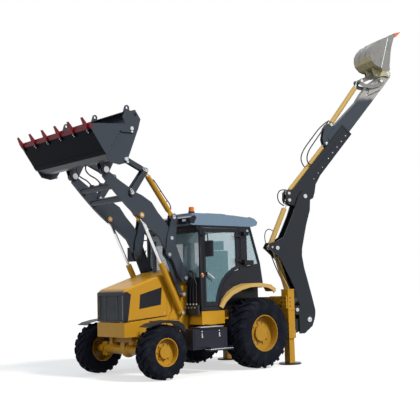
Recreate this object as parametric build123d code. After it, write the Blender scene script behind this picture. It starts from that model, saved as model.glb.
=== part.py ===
"""Backhoe loader: centre-frame machine with a parallel-lift front loader and a sliding rear digger.

Millimetres. +X points forward, +Y to the machine's left, +Z up. The vehicle is drawn about the point
on the ground under the middle of the rear axle, and moved at the end so that the origin lies on the
ground at the middle of its box. The digger is drawn in its own upright plane and swung into place.
"""

from build123d import *
from math import atan2, cos, degrees, hypot, radians, sin
import os

# Wheels and axles
WHEELBASE = 2250.0
REAR_TYRE_R = 645.0
REAR_TYRE_W = 490.0
REAR_RIM_R = 330.0
REAR_TRACK = 1796.0
REAR_LUGS = 18
FRONT_TYRE_R = 460.0
FRONT_TYRE_W = 350.0
FRONT_RIM_R = 235.0
FRONT_TRACK = 1876.0
FRONT_LUGS = 15
LUG_HEIGHT = 34.0
LUG_WIDTH = 50.0
LUG_SLANT = 24.0
KINGPIN_Y = 700.0
KINGPIN_R = 28.0
AXLE_TUBE_R = 85.0
STUB_R = 55.0
RUN_GAP = 0.5
FIT_GAP = 0.3

# Chassis
RAIL_Y = 290.0
RAIL_T = 80.0
RAIL_Z = (560.0, 900.0)
RAIL_X = (-980.0, 2420.0)
NOSE_X = (1300.0, 2600.0)
NOSE_HALF = 408.0
NOSE_Z = (700.0, 945.0)
BUMPER_X = 2330.0
BUMPER_HALF = 428.0
BUMPER_ROUND = 48.0
FLOOR_Z = 1130.0
ENGINE_SIZE = (900.0, 460.0, 560.0)
ENGINE_AT = (1960.0, 0.0, 1060.0)

# Hood
HOOD_HALF = 402.0
HOOD_FRONT = 2615.0
HOOD_REAR = 1700.0
HOOD_Z = (958.0, 1035.0)
HOOD_TOP = (1498.0, 1785.0)
HOOD_SKIN = 12.0
HOOD_HINGE = (2608.0, 950.0)
HINGE_PIN_R = 9.0
HINGE_EYE_R = 14.0
HINGE_Y = (300.0, 330.0)
HINGE_ARM = 26.0
COWL_REAR = 1290.0

# Loader linkage pins in the upright plane of one side, x and z
PINS = {
    "arm": (1351.0, 1683.0),
    "tie_base": (1407.0, 1394.0),
    "lift_base": (1439.0, 1072.0),
    "lift_eye": (2290.0, 2775.0),
    "knee": (1657.0, 2388.0),
    "tie_top": (1713.0, 2099.0),
    "tilt_base": (1592.0, 2761.0),
    "lever_foot": (2500.0, 3152.0),
    "lever_top": (2202.0, 3556.0),
    "link_end": (2840.0, 3827.0),
    "bucket": (3035.0, 3509.0),
    "clam": (2898.0, 4122.0),
}
PIN_R = 24.0
PIN_HEAD_R = 52.0
PIN_HEAD_T = 20.0
PIN_HEAD = 4.0
BOSS_R = 58.0
ARM_IN = 458.0
ARM_T = 55.0
SIDE_GAP = 6.0
IDLER_T = 16.0
LINK_T = 12.0
LEVER_T = 14.0
TOWER_T = 20.0
EYE_T = 29.0
ARM_Y = (ARM_IN, ARM_IN + ARM_T)
MID_Y = (ARM_Y[0] + ARM_Y[1]) / 2
TIE_Y = (ARM_Y[0] - SIDE_GAP - IDLER_T, ARM_Y[0] - SIDE_GAP)
TOWER_Y = (TIE_Y[0] - 8 - TOWER_T, TIE_Y[0] - 8)
IDLER_IN = (TIE_Y[0] - SIDE_GAP - IDLER_T, TIE_Y[0] - SIDE_GAP)
IDLER_OUT = (ARM_Y[1] + SIDE_GAP, ARM_Y[1] + SIDE_GAP + IDLER_T)
LINK_IN = (ARM_Y[0] - SIDE_GAP - LINK_T, ARM_Y[0] - SIDE_GAP)
LINK_OUT = (ARM_Y[1] + SIDE_GAP, ARM_Y[1] + SIDE_GAP + LINK_T)
LEVER_IN = (LINK_IN[0] - SIDE_GAP - LEVER_T, LINK_IN[0] - SIDE_GAP)
LEVER_OUT = (LINK_OUT[1] + SIDE_GAP, LINK_OUT[1] + SIDE_GAP + LEVER_T)
EYE_SPAN = (MID_Y - EYE_T / 2, MID_Y + EYE_T / 2)
LIFT_BORE_R = 52.0
LIFT_ROD_R = 27.0
LIFT_BARREL = 985.0
LIFT_FOOT = 150.0
TILT_BORE_R = 48.0
TILT_ROD_R = 24.0
TILT_BARREL = 885.0
TILT_NECK = 150.0

# Loader bucket
BUCKET_HALF = 1120.0
BUCKET_SIDE_T = 20.0
CLAM_SIDE_T = 18.0
SHELL_T = 14.0
EYE_Y = (165.0 - BUCKET_HALF, 0.0, BUCKET_HALF - 165.0)
EYE_AT = (2880.0, 4500.0)
EYE_R = 46.0
EYE_BORE = 24.0
TOOTH_COUNT = 6
TOOTH_PITCH = (2 * BUCKET_HALF - 160.0) / (TOOTH_COUNT - 1)
TOOTH_HALF = 24.0

# Cab
CAB_HALF = 780.0
GLASS_T = 6.0
SCREEN_Z = (1690.0, 2500.0)
DOOR_GAP = 6.0
BOX_OUT = 960.0
DOOR_PIN = (262.0, CAB_HALF + 17.0)
DOOR_PIN_R = 9.0
DOOR_PIN_Z = (1990.0, 2440.0)
DOOR_EYE = 28.0
ROOF_HALF = 800.0

# Digger in its own plane: distance behind the swing post, and height
DIG_SHIFT = 500.0
DIG_POST_X = -1340.0
DIG_SWING = 18.0
DIG = {
    "foot": (330.0, 810.0),
    "boom_ram_base": (60.0, 1010.0),
    "knee": (-310.0, 2240.0),
    "nose": (-425.0, 2255.0),
    "elbow": (360.0, 3280.0),
    "dipper_ram_eye": (20.0, 3200.0),
    "bucket_ram_base": (1090.0, 4800.0),
    "tip": (2520.0, 5975.0),
    "lever_base": (2345.0, 5805.0),
    "lever_end": (1850.0, 5770.0),
    "bucket_link": (2225.0, 5935.0),
}
SLIDE_STROKE = 1100.0

# Stabilisers
LEG_Y = 885.0
LEG_X = -875.0
CASE_SIZE = (172.0, 172.0)
CASE_Z = (490.0, 1425.0)
CASE_RINGS = ((490.0, 640.0, 18.0), (1030.0, 1048.0, 20.0), (1405.0, 1425.0, 10.0))
LEG_W = 138.0
LEG_TOP = 940.0
PAD_R = 210.0
PAD_T = 30.0


def plate(points, y0, y1):
    """Prism of an x-z outline between two y planes."""
    face = make_face(Polyline(*points, close=True))
    at = Plane(origin=(0, y0, 0), x_dir=(1, 0, 0), z_dir=(0, -1, 0))
    return extrude(at * face, amount=-(y1 - y0))


def block(x, y, z):
    """Box from three low-high pairs."""
    size = [b - a for a, b in (x, y, z)]
    middle = [(a + b) / 2 for a, b in (x, y, z)]
    return Pos(*middle) * Box(*size)


def disc_y(at, r, y0, y1):
    """Cylinder along Y at an x-z point."""
    return Pos(at[0], (y0 + y1) / 2, at[1]) * Rot(90, 0, 0) * Cylinder(r, y1 - y0)


def bar_between(p, q, r):
    """Round bar between two points of space."""
    p, q = Vector(*p), Vector(*q)
    return Plane(origin=p, z_dir=q - p) * Cylinder(
        r, (q - p).length, align=(Align.CENTER, Align.CENTER, Align.MIN),
    )


def strap(p, q, rp, rq, y0, y1):
    """Flat link with round ends of radius rp and rq about two x-z points."""
    run = hypot(q[0] - p[0], q[1] - p[1])
    ux, uz = (q[0] - p[0]) / run, (q[1] - p[1]) / run
    body = plate(
        [
            (p[0] - uz * rp, p[1] + ux * rp),
            (q[0] - uz * rq, q[1] + ux * rq),
            (q[0] + uz * rq, q[1] - ux * rq),
            (p[0] + uz * rp, p[1] - ux * rp),
        ],
        y0,
        y1,
    )
    return body + disc_y(p, rp, y0, y1) + disc_y(q, rq, y0, y1)


def along(p, q, distance):
    """Point at a distance from p towards q."""
    run = hypot(q[0] - p[0], q[1] - p[1])
    return (p[0] + (q[0] - p[0]) * distance / run, p[1] + (q[1] - p[1]) * distance / run)


def gap_of(p, q):
    """Distance between two x-z points."""
    return hypot(q[0] - p[0], q[1] - p[1])


def offset_path(path, t):
    """Closed outline of a thin wall: the path and its copy moved by t to its left."""
    out = []
    for i, (x, z) in enumerate(path):
        before = path[max(i - 1, 0)]
        after = path[min(i + 1, len(path) - 1)]
        run = gap_of(before, after)
        out.append((x - (after[1] - before[1]) / run * t, z + (after[0] - before[0]) / run * t))
    return list(path) + out[::-1]


def both_sides(shape):
    """A shape of the left side and its mirror image."""
    return [shape, mirror(shape, Plane.XZ)]


def hole(at, r, y0, y1):
    """Bore cutter along Y, a little longer than the wall."""
    return disc_y(at, r, y0 - 5, y1 + 5)


def joined(*shapes):
    """Union of shapes, flattening lists."""
    flat = []
    for shape in shapes:
        flat.extend(shape if isinstance(shape, (list, tuple)) else [shape])
    result = flat[0]
    for shape in flat[1:]:
        result = result + shape
    return result


NODES = {}


def put(name, *shapes):
    """Keep the solids of one node."""
    flat = []
    for shape in shapes:
        flat.extend(shape if isinstance(shape, (list, tuple)) else [shape])
    solids = []
    for shape in flat:
        solids.extend(shape.solids())
    NODES[name] = Compound(solids)


# Wheels
REAR_X = 0.0
REAR_Z = REAR_TYRE_R
FRONT_X = WHEELBASE
FRONT_Z = FRONT_TYRE_R


def faceted(profile, count):
    """Solid about Y of flat facets through regular polygons, from a list of y and corner radius."""
    turns = [radians(360 / count * i) for i in range(count + 1)]
    rings = [[Vector(r * sin(t), y, r * cos(t)) for t in turns] for y, r in profile]
    faces = [
        Face(Wire.make_polygon([low[i], low[i + 1], high[i + 1], high[i]], close=True))
        for low, high in zip(rings, rings[1:])
        for i in range(count)
    ]
    faces += [Face(Wire.make_polygon(ring[:-1], close=True)) for ring in (rings[0], rings[-1])]
    return Solid(Shell(faces))


def tyre(radius, width, rim_radius, lugs):
    """Tyre about Y at the origin: a carcass of flat facets and two rows of slanted lugs.

    The corners of the lugs lie on the rolling radius, and one of them points straight down.
    """
    half = width / 2
    floor = radius - LUG_HEIGHT
    wall = (rim_radius + floor) / 2
    profile = [(half - 28, rim_radius + 30), (half, wall), (half - 34, floor)]
    carcass = faceted(profile + [(-y, r) for y, r in profile[::-1]], lugs)
    carcass -= disc_y((0, 0), rim_radius + FIT_GAP, -width, width)
    long = (half - 12) / cos(radians(LUG_SLANT))
    reach = long / 2 * sin(radians(LUG_SLANT)) + LUG_WIDTH / 2 * cos(radians(LUG_SLANT))
    top = (radius ** 2 - reach ** 2) ** 0.5
    lean = degrees(atan2(reach, top))
    bars = []
    for side in (1, -1):
        for i in range(lugs):
            turn = 180 - lean + 360 / lugs * (i + (0 if side > 0 else 0.5))
            bar = Rot(0, 0, -side * LUG_SLANT) * Box(LUG_WIDTH, long, 2 * LUG_HEIGHT)
            bars.append(Rot(0, turn, 0) * (Pos(0, side * (half - 4) / 2, top - LUG_HEIGHT) * bar))
    return carcass + bars


def rim(rim_radius, width, dish, hub_r, hub_out, bore_r, inner):
    """Wheel with its outer face towards +Y: a barrel, a dished disc and a raised hub."""
    half = width / 2 - 25
    wall = 16
    disc = 22
    face = half - dish
    barrel = disc_y((0, 0), rim_radius, -half, half) - disc_y((0, 0), rim_radius - wall, -half - 5, half + 5)
    web = disc_y((0, 0), rim_radius - wall / 2, face - disc, face)
    hub = disc_y((0, 0), hub_r, face - disc - inner, face + hub_out)
    bore = disc_y((0, 0), bore_r, face - disc - inner - 5, face - disc + 8)
    return barrel + web + hub - bore


REAR_RIM = dict(dish=135.0, hub_r=150.0, hub_out=45.0, inner=60.0)
FRONT_RIM = dict(dish=95.0, hub_r=105.0, hub_out=50.0, inner=30.0)


def place_wheel(shape, x, y, z):
    """Turn a wheel drawn towards +Y to its side and move it to its hub."""
    if y < 0:
        shape = mirror(shape, Plane.XZ)
    return Pos(x, y, z) * shape


WHEELS = (
    ("rear", REAR_X, REAR_Z, REAR_TRACK / 2, (REAR_TYRE_R, REAR_TYRE_W, REAR_RIM_R, REAR_LUGS), REAR_RIM),
    (
        "front", FRONT_X, FRONT_Z, FRONT_TRACK / 2,
        (FRONT_TYRE_R, FRONT_TYRE_W, FRONT_RIM_R, FRONT_LUGS), FRONT_RIM,
    ),
)
for end, x, z, y, size, dish in WHEELS:
    rubber = tyre(*size)
    disc = rim(size[2], size[1], bore_r=STUB_R + RUN_GAP, **dish)
    for side, name in ((1, "left"), (-1, "right")):
        put("tyre_" + end + "_" + name, place_wheel(rubber, x, side * y, z))
        put("rim_" + end + "_" + name, place_wheel(disc, x, side * y, z))

# Axles: tubes with end arms, and a stub into each hub
REAR_FACE = REAR_TRACK / 2 + REAR_TYRE_W / 2 - 25 - REAR_RIM["dish"] - 22
REAR_STUB = REAR_FACE + 8 - 1.0
REAR_HUB_IN = REAR_FACE - REAR_RIM["inner"]
FRONT_FACE = FRONT_TRACK / 2 + FRONT_TYRE_W / 2 - 25 - FRONT_RIM["dish"] - 22
FRONT_STUB = FRONT_FACE + 8 - 1.0
FRONT_HUB_IN = FRONT_FACE - FRONT_RIM["inner"]
rear_axle = joined(
    disc_y((REAR_X, REAR_Z), AXLE_TUBE_R, -(REAR_HUB_IN - 5), REAR_HUB_IN - 5),
    disc_y((REAR_X, REAR_Z), STUB_R, -REAR_STUB, REAR_STUB),
    Pos(REAR_X, 0, REAR_Z) * Sphere(190),
    [
        block(
            (REAR_X - 100, REAR_X + 100), (y - RAIL_T / 2, y + RAIL_T / 2), (REAR_Z - 95, REAR_Z + 95),
        )
        for y in (-RAIL_Y, RAIL_Y)
    ],
)
YOKE_Y = (KINGPIN_Y - 60, KINGPIN_Y + 45)
YOKE_Z = 115.0
front_axle = joined(
    disc_y((FRONT_X, FRONT_Z), AXLE_TUBE_R, -YOKE_Y[0] + 20, YOKE_Y[0] - 20),
    Pos(FRONT_X, 0, FRONT_Z) * Sphere(135),
    block((FRONT_X - 130, FRONT_X + 130), (-60, 60), (FRONT_Z, RAIL_Z[0] + 40)),
)
for side in (1, -1):
    for low, high in ((FRONT_Z + YOKE_Z - 35, FRONT_Z + YOKE_Z), (FRONT_Z - YOKE_Z, FRONT_Z - YOKE_Z + 35)):
        y = sorted((side * (YOKE_Y[0] - 60), side * YOKE_Y[1]))
        front_axle += block((FRONT_X - 45, FRONT_X + 45), y, (low, high))
    y = sorted((side * (YOKE_Y[0] - 60), side * (YOKE_Y[0] - 15)))
    front_axle += block((FRONT_X - 60, FRONT_X + 60), y, (FRONT_Z - YOKE_Z, FRONT_Z + YOKE_Z))
    front_axle -= Pos(FRONT_X, side * KINGPIN_Y, FRONT_Z) * Cylinder(KINGPIN_R + RUN_GAP, 3 * YOKE_Z)
put("axles", rear_axle, front_axle)
for side, name in ((1, "left"), (-1, "right")):
    y = sorted((side * (KINGPIN_Y - 38), side * (KINGPIN_Y + 50)))
    knuckle = block((FRONT_X - 50, FRONT_X + 50), y, (FRONT_Z - YOKE_Z + 36, FRONT_Z + YOKE_Z - 36))
    knuckle += Pos(FRONT_X, side * KINGPIN_Y, FRONT_Z) * Cylinder(KINGPIN_R, 2 * YOKE_Z + 30)
    y = sorted((side * KINGPIN_Y, side * (FRONT_HUB_IN - 4)))
    knuckle += disc_y((FRONT_X, FRONT_Z), STUB_R + 25, *y)
    y = sorted((side * KINGPIN_Y, side * FRONT_STUB))
    knuckle += disc_y((FRONT_X, FRONT_Z), STUB_R, *y)
    put("knuckle_" + name, knuckle)

# Main frame: rails, cross members, nose, loader towers and the rear frame with its leg cases
frame = joined(
    [block(RAIL_X, (y - RAIL_T / 2, y + RAIL_T / 2), RAIL_Z) for y in (-RAIL_Y, RAIL_Y)],
    [block((x - 60, x + 60), (-RAIL_Y, RAIL_Y), (RAIL_Z[0] + 40, RAIL_Z[1] - 40)) for x in (-800, 900, 1420)],
)
for y in (-RAIL_Y, RAIL_Y):
    frame -= block(
        (REAR_X - 100 - FIT_GAP, REAR_X + 100 + FIT_GAP), (y - RAIL_T, y + RAIL_T),
        (REAR_Z - 120, REAR_Z + 95 + FIT_GAP),
    )
nose = plate(
    [
        (NOSE_X[0], NOSE_Z[0]), (NOSE_X[1], NOSE_Z[0]), (NOSE_X[1], NOSE_Z[1]), (HOOD_REAR, 1020),
        (NOSE_X[0], 1020),
    ],
    -NOSE_HALF,
    NOSE_HALF,
)
nose -= plate(
    [(NOSE_X[0] - 10, RAIL_Z[0]), (BUMPER_X + 95, RAIL_Z[0]), (BUMPER_X + 95, 1100), (NOSE_X[0] - 10, 1100)],
    -NOSE_HALF + 16,
    NOSE_HALF - 16,
)
frame += nose
bumper = block((BUMPER_X, HOOD_FRONT + 15), (-BUMPER_HALF, BUMPER_HALF), NOSE_Z)
bumper = fillet([e for e in bumper.edges().filter_by(Axis.Z) if e.center().X > HOOD_FRONT], BUMPER_ROUND)
bumper -= block(
    (BUMPER_X - 5, HOOD_FRONT - 170), (-BUMPER_HALF + 70, BUMPER_HALF - 70),
    (NOSE_Z[0] - 5, NOSE_Z[1] + 5),
)
frame += bumper
frame += block((FRONT_X - 125, FRONT_X + 125), (-RAIL_Y, RAIL_Y), (RAIL_Z[0] + 40, RAIL_Z[0] + 140))
for x in (1740, 2280):
    for y in (-1, 1):
        low, high = sorted((y * ENGINE_SIZE[1] / 2, y * (RAIL_Y - RAIL_T / 2 + 10)))
        frame += block((x - 40, x + 40), (low, high), (800, 860))
for y in (-1, 1):
    low, high = sorted((y * (HINGE_Y[0] - HINGE_ARM - 4), y * (HINGE_Y[1] + HINGE_ARM + 4)))
    frame -= disc_y(HOOD_HINGE, HINGE_EYE_R + 3, low, high)
    low, high = sorted((y * HINGE_Y[0], y * HINGE_Y[1]))
    frame += disc_y(HOOD_HINGE, HINGE_EYE_R, low, high)
    frame += block(
        (HOOD_HINGE[0] - HINGE_EYE_R, HOOD_HINGE[0] + HINGE_EYE_R), (low, high), (920, HOOD_HINGE[1]),
    )
    frame -= hole(HOOD_HINGE, HINGE_PIN_R + RUN_GAP, low, high)
tower = plate(
    [(1240, 700), (1720, 700), (1720, 930), (1600, 1110), (1470, 1780), (1290, 1780), (1240, 1520)],
    *TOWER_Y
)
tower += block((1260, 1560), (RAIL_Y, TOWER_Y[1]), (700, 760))
for pin in ("arm", "tie_base", "lift_base"):
    seat = TIE_Y[0] if pin == "tie_base" else EYE_SPAN[0] if pin == "lift_base" else ARM_Y[0]
    tower += disc_y(PINS[pin], BOSS_R - 8, TOWER_Y[0], seat - 1)
    tower += disc_y(PINS[pin], PIN_R, TOWER_Y[0], IDLER_OUT[1])
tower += block((1330, 1460), (-TOWER_Y[1], TOWER_Y[1]), (700, 760))
frame += joined(both_sides(tower))
PANEL_X = (REAR_X + REAR_TYRE_R + 20, 1200.0)
for y in (-1, 1):
    low, high = sorted((y * (RAIL_Y + RAIL_T / 2 + FIT_GAP), y * (CAB_HALF - 10)))
    frame += block(PANEL_X, (low, high), (RAIL_Z[1] - 50, FLOOR_Z - 45))
    low, high = sorted((y * RAIL_Y, y * (CAB_HALF - 10)))
    frame += block(PANEL_X, (low, high), (RAIL_Z[1] - 50, RAIL_Z[1] - 5))
for z0, z1 in ((560, 720), (1130, 1280)):
    frame += block((LEG_X - 60, LEG_X + 60), (-LEG_Y, LEG_Y), (z0, z1))
frame += block((LEG_X - 60, LEG_X + 60), (-RAIL_Y - 60, RAIL_Y + 60), (560, 1280))
frame += block((LEG_X, -500), (-RAIL_Y - 40, -RAIL_Y + 40), (900, 1100))
frame += block((LEG_X, -500), (RAIL_Y - 40, RAIL_Y + 40), (900, 1100))
for side in (1, -1):
    case = Pos(LEG_X, side * LEG_Y, (CASE_Z[0] + CASE_Z[1]) / 2) * Box(*CASE_SIZE, CASE_Z[1] - CASE_Z[0])
    frame += case
    for low, high, grow in CASE_RINGS:
        frame += Pos(LEG_X, side * LEG_Y, (low + high) / 2) * Box(
            CASE_SIZE[0] + grow, CASE_SIZE[1] + grow, high - low,
        )
    frame += Pos(LEG_X + CASE_SIZE[0] / 2 + 15, side * LEG_Y, 1180) * Box(40, 140, 240)
for side in (1, -1):
    inner = LEG_W + 2 * RUN_GAP
    frame -= Pos(LEG_X, side * LEG_Y, (CASE_Z[0] + CASE_Z[1]) / 2 - 15) * Box(
        inner, inner, CASE_Z[1] - CASE_Z[0] - 10,
    )
for side, name in ((1, "left"), (-1, "right")):
    leg = Pos(LEG_X, side * LEG_Y, (PAD_T + LEG_TOP) / 2) * Box(LEG_W, LEG_W, LEG_TOP - PAD_T)
    pad = Pos(LEG_X, side * LEG_Y, PAD_T / 2) * Cylinder(PAD_R, PAD_T)
    put("stabiliser_leg_" + name, leg + pad)

# Engine, exhaust, hood and grille
put("engine_block", Pos(*ENGINE_AT) * Box(*ENGINE_SIZE))
EXHAUST_AT = (1600.0, -60.0)
PIPE_R = 38.0
cowl = plate(
    [(COWL_REAR, 1020), (HOOD_REAR - DOOR_GAP, 1020), (HOOD_REAR - DOOR_GAP, 1785), (COWL_REAR, 1850)],
    -400, 400,
)
cowl -= plate(
    [(COWL_REAR + 12, 1000), (HOOD_REAR - 18, 1000), (HOOD_REAR - 18, 1770), (COWL_REAR + 12, 1835)],
    -388, 388,
)
cowl -= block((HOOD_REAR - 30, HOOD_REAR), (-300, 300), (1000, 1500))
cowl -= Pos(*EXHAUST_AT, 1850) * Cylinder(PIPE_R + FIT_GAP, 200)
frame += cowl
pipe = Pos(*EXHAUST_AT, 2060) * Cylinder(PIPE_R, 600) - Pos(*EXHAUST_AT, 2330) * Cylinder(PIPE_R - 5, 100)
put("exhaust_stack", pipe)


def hood_outline(front, rear, drop):
    """Side outline of the hood shell, set in by its skin."""
    slope = (HOOD_TOP[1] - HOOD_TOP[0]) / (HOOD_FRONT - HOOD_REAR)
    return [
        (front, HOOD_Z[0]),
        (front, HOOD_TOP[0] - drop - 40),
        (front - 60, HOOD_TOP[0] - drop + slope * 60),
        (rear, HOOD_TOP[1] - drop),
        (rear, HOOD_Z[1]),
    ]


hood = plate(hood_outline(HOOD_FRONT, HOOD_REAR, 0), -HOOD_HALF, HOOD_HALF)
hood = chamfer(
    [
        e for e in hood.edges()
        if e.center().Z > HOOD_TOP[0] + 20 and abs(abs(e.center().Y) - HOOD_HALF) < 1 and e.length > 300
    ],
    30,
)
hood -= plate(
    hood_outline(HOOD_FRONT - 45, HOOD_REAR - 20, HOOD_SKIN), -HOOD_HALF + HOOD_SKIN,
    HOOD_HALF - HOOD_SKIN,
)
hood -= block(
    (HOOD_FRONT - 60, HOOD_FRONT + 5), (-HOOD_HALF + 45, HOOD_HALF - 45),
    (HOOD_Z[0] + 25, HOOD_TOP[0] - 90),
)
hood -= block(
    (HOOD_REAR - 50, HOOD_FRONT - 60), (-HOOD_HALF + HOOD_SKIN, HOOD_HALF - HOOD_SKIN),
    (HOOD_Z[0] - 10, HOOD_Z[1] + 10),
)
VENT = [(2300, 1165), (2275, 1415), (1800, 1530), (1830, 1225)]
vent_cut = plate(VENT, -HOOD_HALF - 5, HOOD_HALF + 5)
hood -= vent_cut
for y in (-1, 1):
    low, high = sorted((y * (HINGE_Y[0] - 4), y * (HINGE_Y[1] + 4)))
    hood -= block(
        (HOOD_FRONT - 60, HOOD_FRONT + 5), (low, high),
        (HOOD_Z[0] - 5, HOOD_HINGE[1] + HINGE_EYE_R + 4),
    )
    low, high = sorted((y * (HINGE_Y[0] - HINGE_ARM), y * (HINGE_Y[1] + HINGE_ARM)))
    hood += disc_y(HOOD_HINGE, HINGE_PIN_R, low, high)
    for edge in (HINGE_Y[0] - HINGE_ARM, HINGE_Y[1] + 4):
        low, high = sorted((y * edge, y * (edge + HINGE_ARM - 4)))
        hood += block((HOOD_FRONT - 12, HOOD_FRONT), (low, high), (HOOD_HINGE[1], HOOD_Z[0] + 25))
put("hood_shell", hood)
grille = block(
    (HOOD_FRONT - 42, HOOD_FRONT - 20), (-HOOD_HALF + 45 + FIT_GAP, HOOD_HALF - 45 - FIT_GAP),
    (HOOD_Z[0] + 26, HOOD_TOP[0] - 91),
)
for i in range(12):
    z = HOOD_Z[0] + 45 + i * 34
    grille += block((HOOD_FRONT - 22, HOOD_FRONT - 6), (-HOOD_HALF + 50, HOOD_HALF - 50), (z, z + 12))
vent = plate(VENT, HOOD_HALF - 9, HOOD_HALF - 3)
for i in range(5):
    z = 1228 + i * 42
    vent += block((1880, 2240), (HOOD_HALF - 6, HOOD_HALF), (z, z + 14))
vents = both_sides(vent)
put("grille", grille, vents)

# Front fenders ride on the knuckles
FLAP_CROWN = [(-415, 340), (-360, 440), (-260, 502), (-75, 524), (85, 506), (261, 472), (350, 430)]
FLAP_LIP = [(361, 426), (238, 448), (50, 484), (-100, 470), (-250, 412), (-384, 310)]
for side, name in ((1, "left"), (-1, "right")):
    crown = [(FRONT_X + x, FRONT_Z + z) for x, z in FLAP_CROWN]
    lip = [(FRONT_X + x, FRONT_Z + z) for x, z in FLAP_LIP]
    flap = plate(offset_path(crown, -9), 800, 1098)
    flap += plate(crown + lip, 1088, 1098)
    stay = block((2215, 2285), (KINGPIN_Y - 30, KINGPIN_Y + 30), (FRONT_Z + YOKE_Z + 15, 962))
    stay += block((2215, 2285), (KINGPIN_Y - 30, 830), (950, 970))
    shape = flap + stay
    put("front_fender_" + name, shape if side > 0 else mirror(shape, Plane.XZ))

# Loader: arms, idlers, levelling links, cylinders, levers and links, drawn on the left and mirrored
PIN_HOLE = PIN_R + RUN_GAP
ARM_OUTLINE = [
    (3060, 3400), (2830, 3160), (2600, 2940), (2420, 2790), (2280, 2690), (2140, 2590), (1910, 2410),
    (1830, 2270), (1600, 1950), (1510, 1730), (1420, 1610), (1280, 1620),
    (1262, 1760), (1410, 1950), (1530, 2230),
    (1660, 2520), (1770, 2670), (1930, 2830), (2070, 3010), (2270, 3120), (2410, 3170), (2550, 3250),
    (2770, 3370), (2960, 3500), (3035, 3583),
]
arm = plate(ARM_OUTLINE, *ARM_Y) + disc_y(PINS["bucket"], 76, *ARM_Y)
for pin, low, high in (
    ("knee", TIE_Y[0], IDLER_OUT[0] - 1),
    ("lever_foot", LEVER_IN[1] + 1, LEVER_OUT[0] - 1),
    ("bucket", LEVER_IN[1] + 1, LEVER_OUT[0] - 1),
):
    arm += disc_y(PINS[pin], BOSS_R - 10, low, high)
arm += disc_y(PINS["knee"], PIN_R, IDLER_IN[0], IDLER_OUT[1] + 4)
for pin in ("arm", "lever_foot", "bucket"):
    arm -= hole(PINS[pin], PIN_HOLE, LEVER_IN[0], LEVER_OUT[1])
EYE_LONG = 300.0
LIFT_TRAVEL = radians(80.5)


def lift_cylinder(share):
    """Heading and length of the lift cylinder with the arms lowered by a share of their travel."""
    turn = -LIFT_TRAVEL * share
    pivot, eye, base = PINS["arm"], PINS["lift_eye"], PINS["lift_base"]
    x, z = eye[0] - pivot[0], eye[1] - pivot[1]
    x, z = pivot[0] + x * cos(turn) - z * sin(turn), pivot[1] + x * sin(turn) + z * cos(turn)
    return atan2(z - base[1], x - base[0]), gap_of(base, (x, z))


RAISED, LOWERED = lift_cylinder(0), lift_cylinder(1)
LIFT_STROKE = RAISED[1] - LOWERED[1]


def rod_eye(share):
    """Eye of an evenly moved lift cylinder in the frame of the arms, and the heading down its rod."""
    heading = RAISED[0] + (LOWERED[0] - RAISED[0]) * share
    length = RAISED[1] - LIFT_STROKE * share
    pivot, base = PINS["arm"], PINS["lift_base"]
    x, z = base[0] + length * cos(heading) - pivot[0], base[1] + length * sin(heading) - pivot[1]
    turn = LIFT_TRAVEL * share
    at = (pivot[0] + x * cos(turn) - z * sin(turn), pivot[1] + x * sin(turn) + z * cos(turn))
    return at, heading + turn + radians(180)


slot_y = (EYE_SPAN[0] - 3, EYE_SPAN[1] + 3)
for step in range(11):
    at, heading = rod_eye(step / 10)
    foot = (at[0] + EYE_LONG * cos(heading), at[1] + EYE_LONG * sin(heading))
    arm -= strap(at, foot, 56, 42, *slot_y)
arm += disc_y(PINS["lift_eye"], PIN_R + 14, ARM_Y[1], ARM_Y[1] + PIN_HEAD)
CROSS_TUBES = ((2840, 3260), (2640, 3060))
arms = joined(both_sides(arm))
for at in CROSS_TUBES:
    arms += disc_y(at, 58, -ARM_Y[0], ARM_Y[0])
put("loader_arms", arms)

idler_outline = [
    (1512, 2780), (1590, 2842), (1648, 2790), (1662, 2690), (1706, 2560),
    (1762, 2400), (1790, 2110), (1720, 2026),
    (1640, 2090), (1568, 2400),
]
idler = joined(plate(idler_outline, *IDLER_IN), plate(idler_outline, *IDLER_OUT))
idler -= hole(PINS["knee"], PIN_HOLE, IDLER_IN[0], IDLER_OUT[1])
idler -= hole(PINS["tilt_base"], PIN_HOLE, IDLER_IN[0], IDLER_OUT[1])
idler += disc_y(PINS["tie_top"], PIN_R, IDLER_IN[0], TIE_Y[1])
put("idlers", both_sides(idler))
tie = strap(PINS["tie_base"], PINS["tie_top"], 48, 48, *TIE_Y)
for pin in ("tie_base", "tie_top"):
    tie -= hole(PINS[pin], PIN_HOLE, *TIE_Y)
put("levelling_links", both_sides(tie))


def ram(base, eye, bore_r, rod_r, barrel_end, middle, neck, eye_r, reach=None):
    """Barrel and rod of a cylinder in an upright plane, with flat eyes at both ends."""
    reach = reach or neck
    start = along(base, eye, neck)
    end = along(base, eye, barrel_end)
    span = (middle - EYE_T / 2, middle + EYE_T / 2)
    barrel = bar_between((start[0], middle, start[1]), (end[0], middle, end[1]), bore_r)
    barrel += strap(base, along(base, eye, neck + 12), eye_r, eye_r * 0.75, *span)
    top = along(eye, base, reach + EYE_T)
    low = along(base, eye, neck + 60)
    barrel -= bar_between((low[0], middle, low[1]), (end[0], middle, end[1]), rod_r + 12)
    gland = along(base, eye, barrel_end - 45)
    ring = bar_between((gland[0], middle, gland[1]), (end[0], middle, end[1]), rod_r + 14)
    ring -= bar_between((gland[0], middle, gland[1]), along3(end, gland, middle, 20), rod_r + RUN_GAP)
    barrel += ring
    piston = along(base, eye, neck + 80)
    rod = bar_between((piston[0], middle, piston[1]), (top[0], middle, top[1]), rod_r)
    rod += strap(eye, along(eye, base, reach + EYE_T + 12), eye_r, rod_r * 0.85, *span)
    return barrel, rod


def along3(p, q, middle, extra):
    """Point past p on the way from q, at a given y."""
    run = gap_of(p, q)
    return (p[0] + (p[0] - q[0]) * extra / run, middle, p[1] + (p[1] - q[1]) * extra / run)


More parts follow.
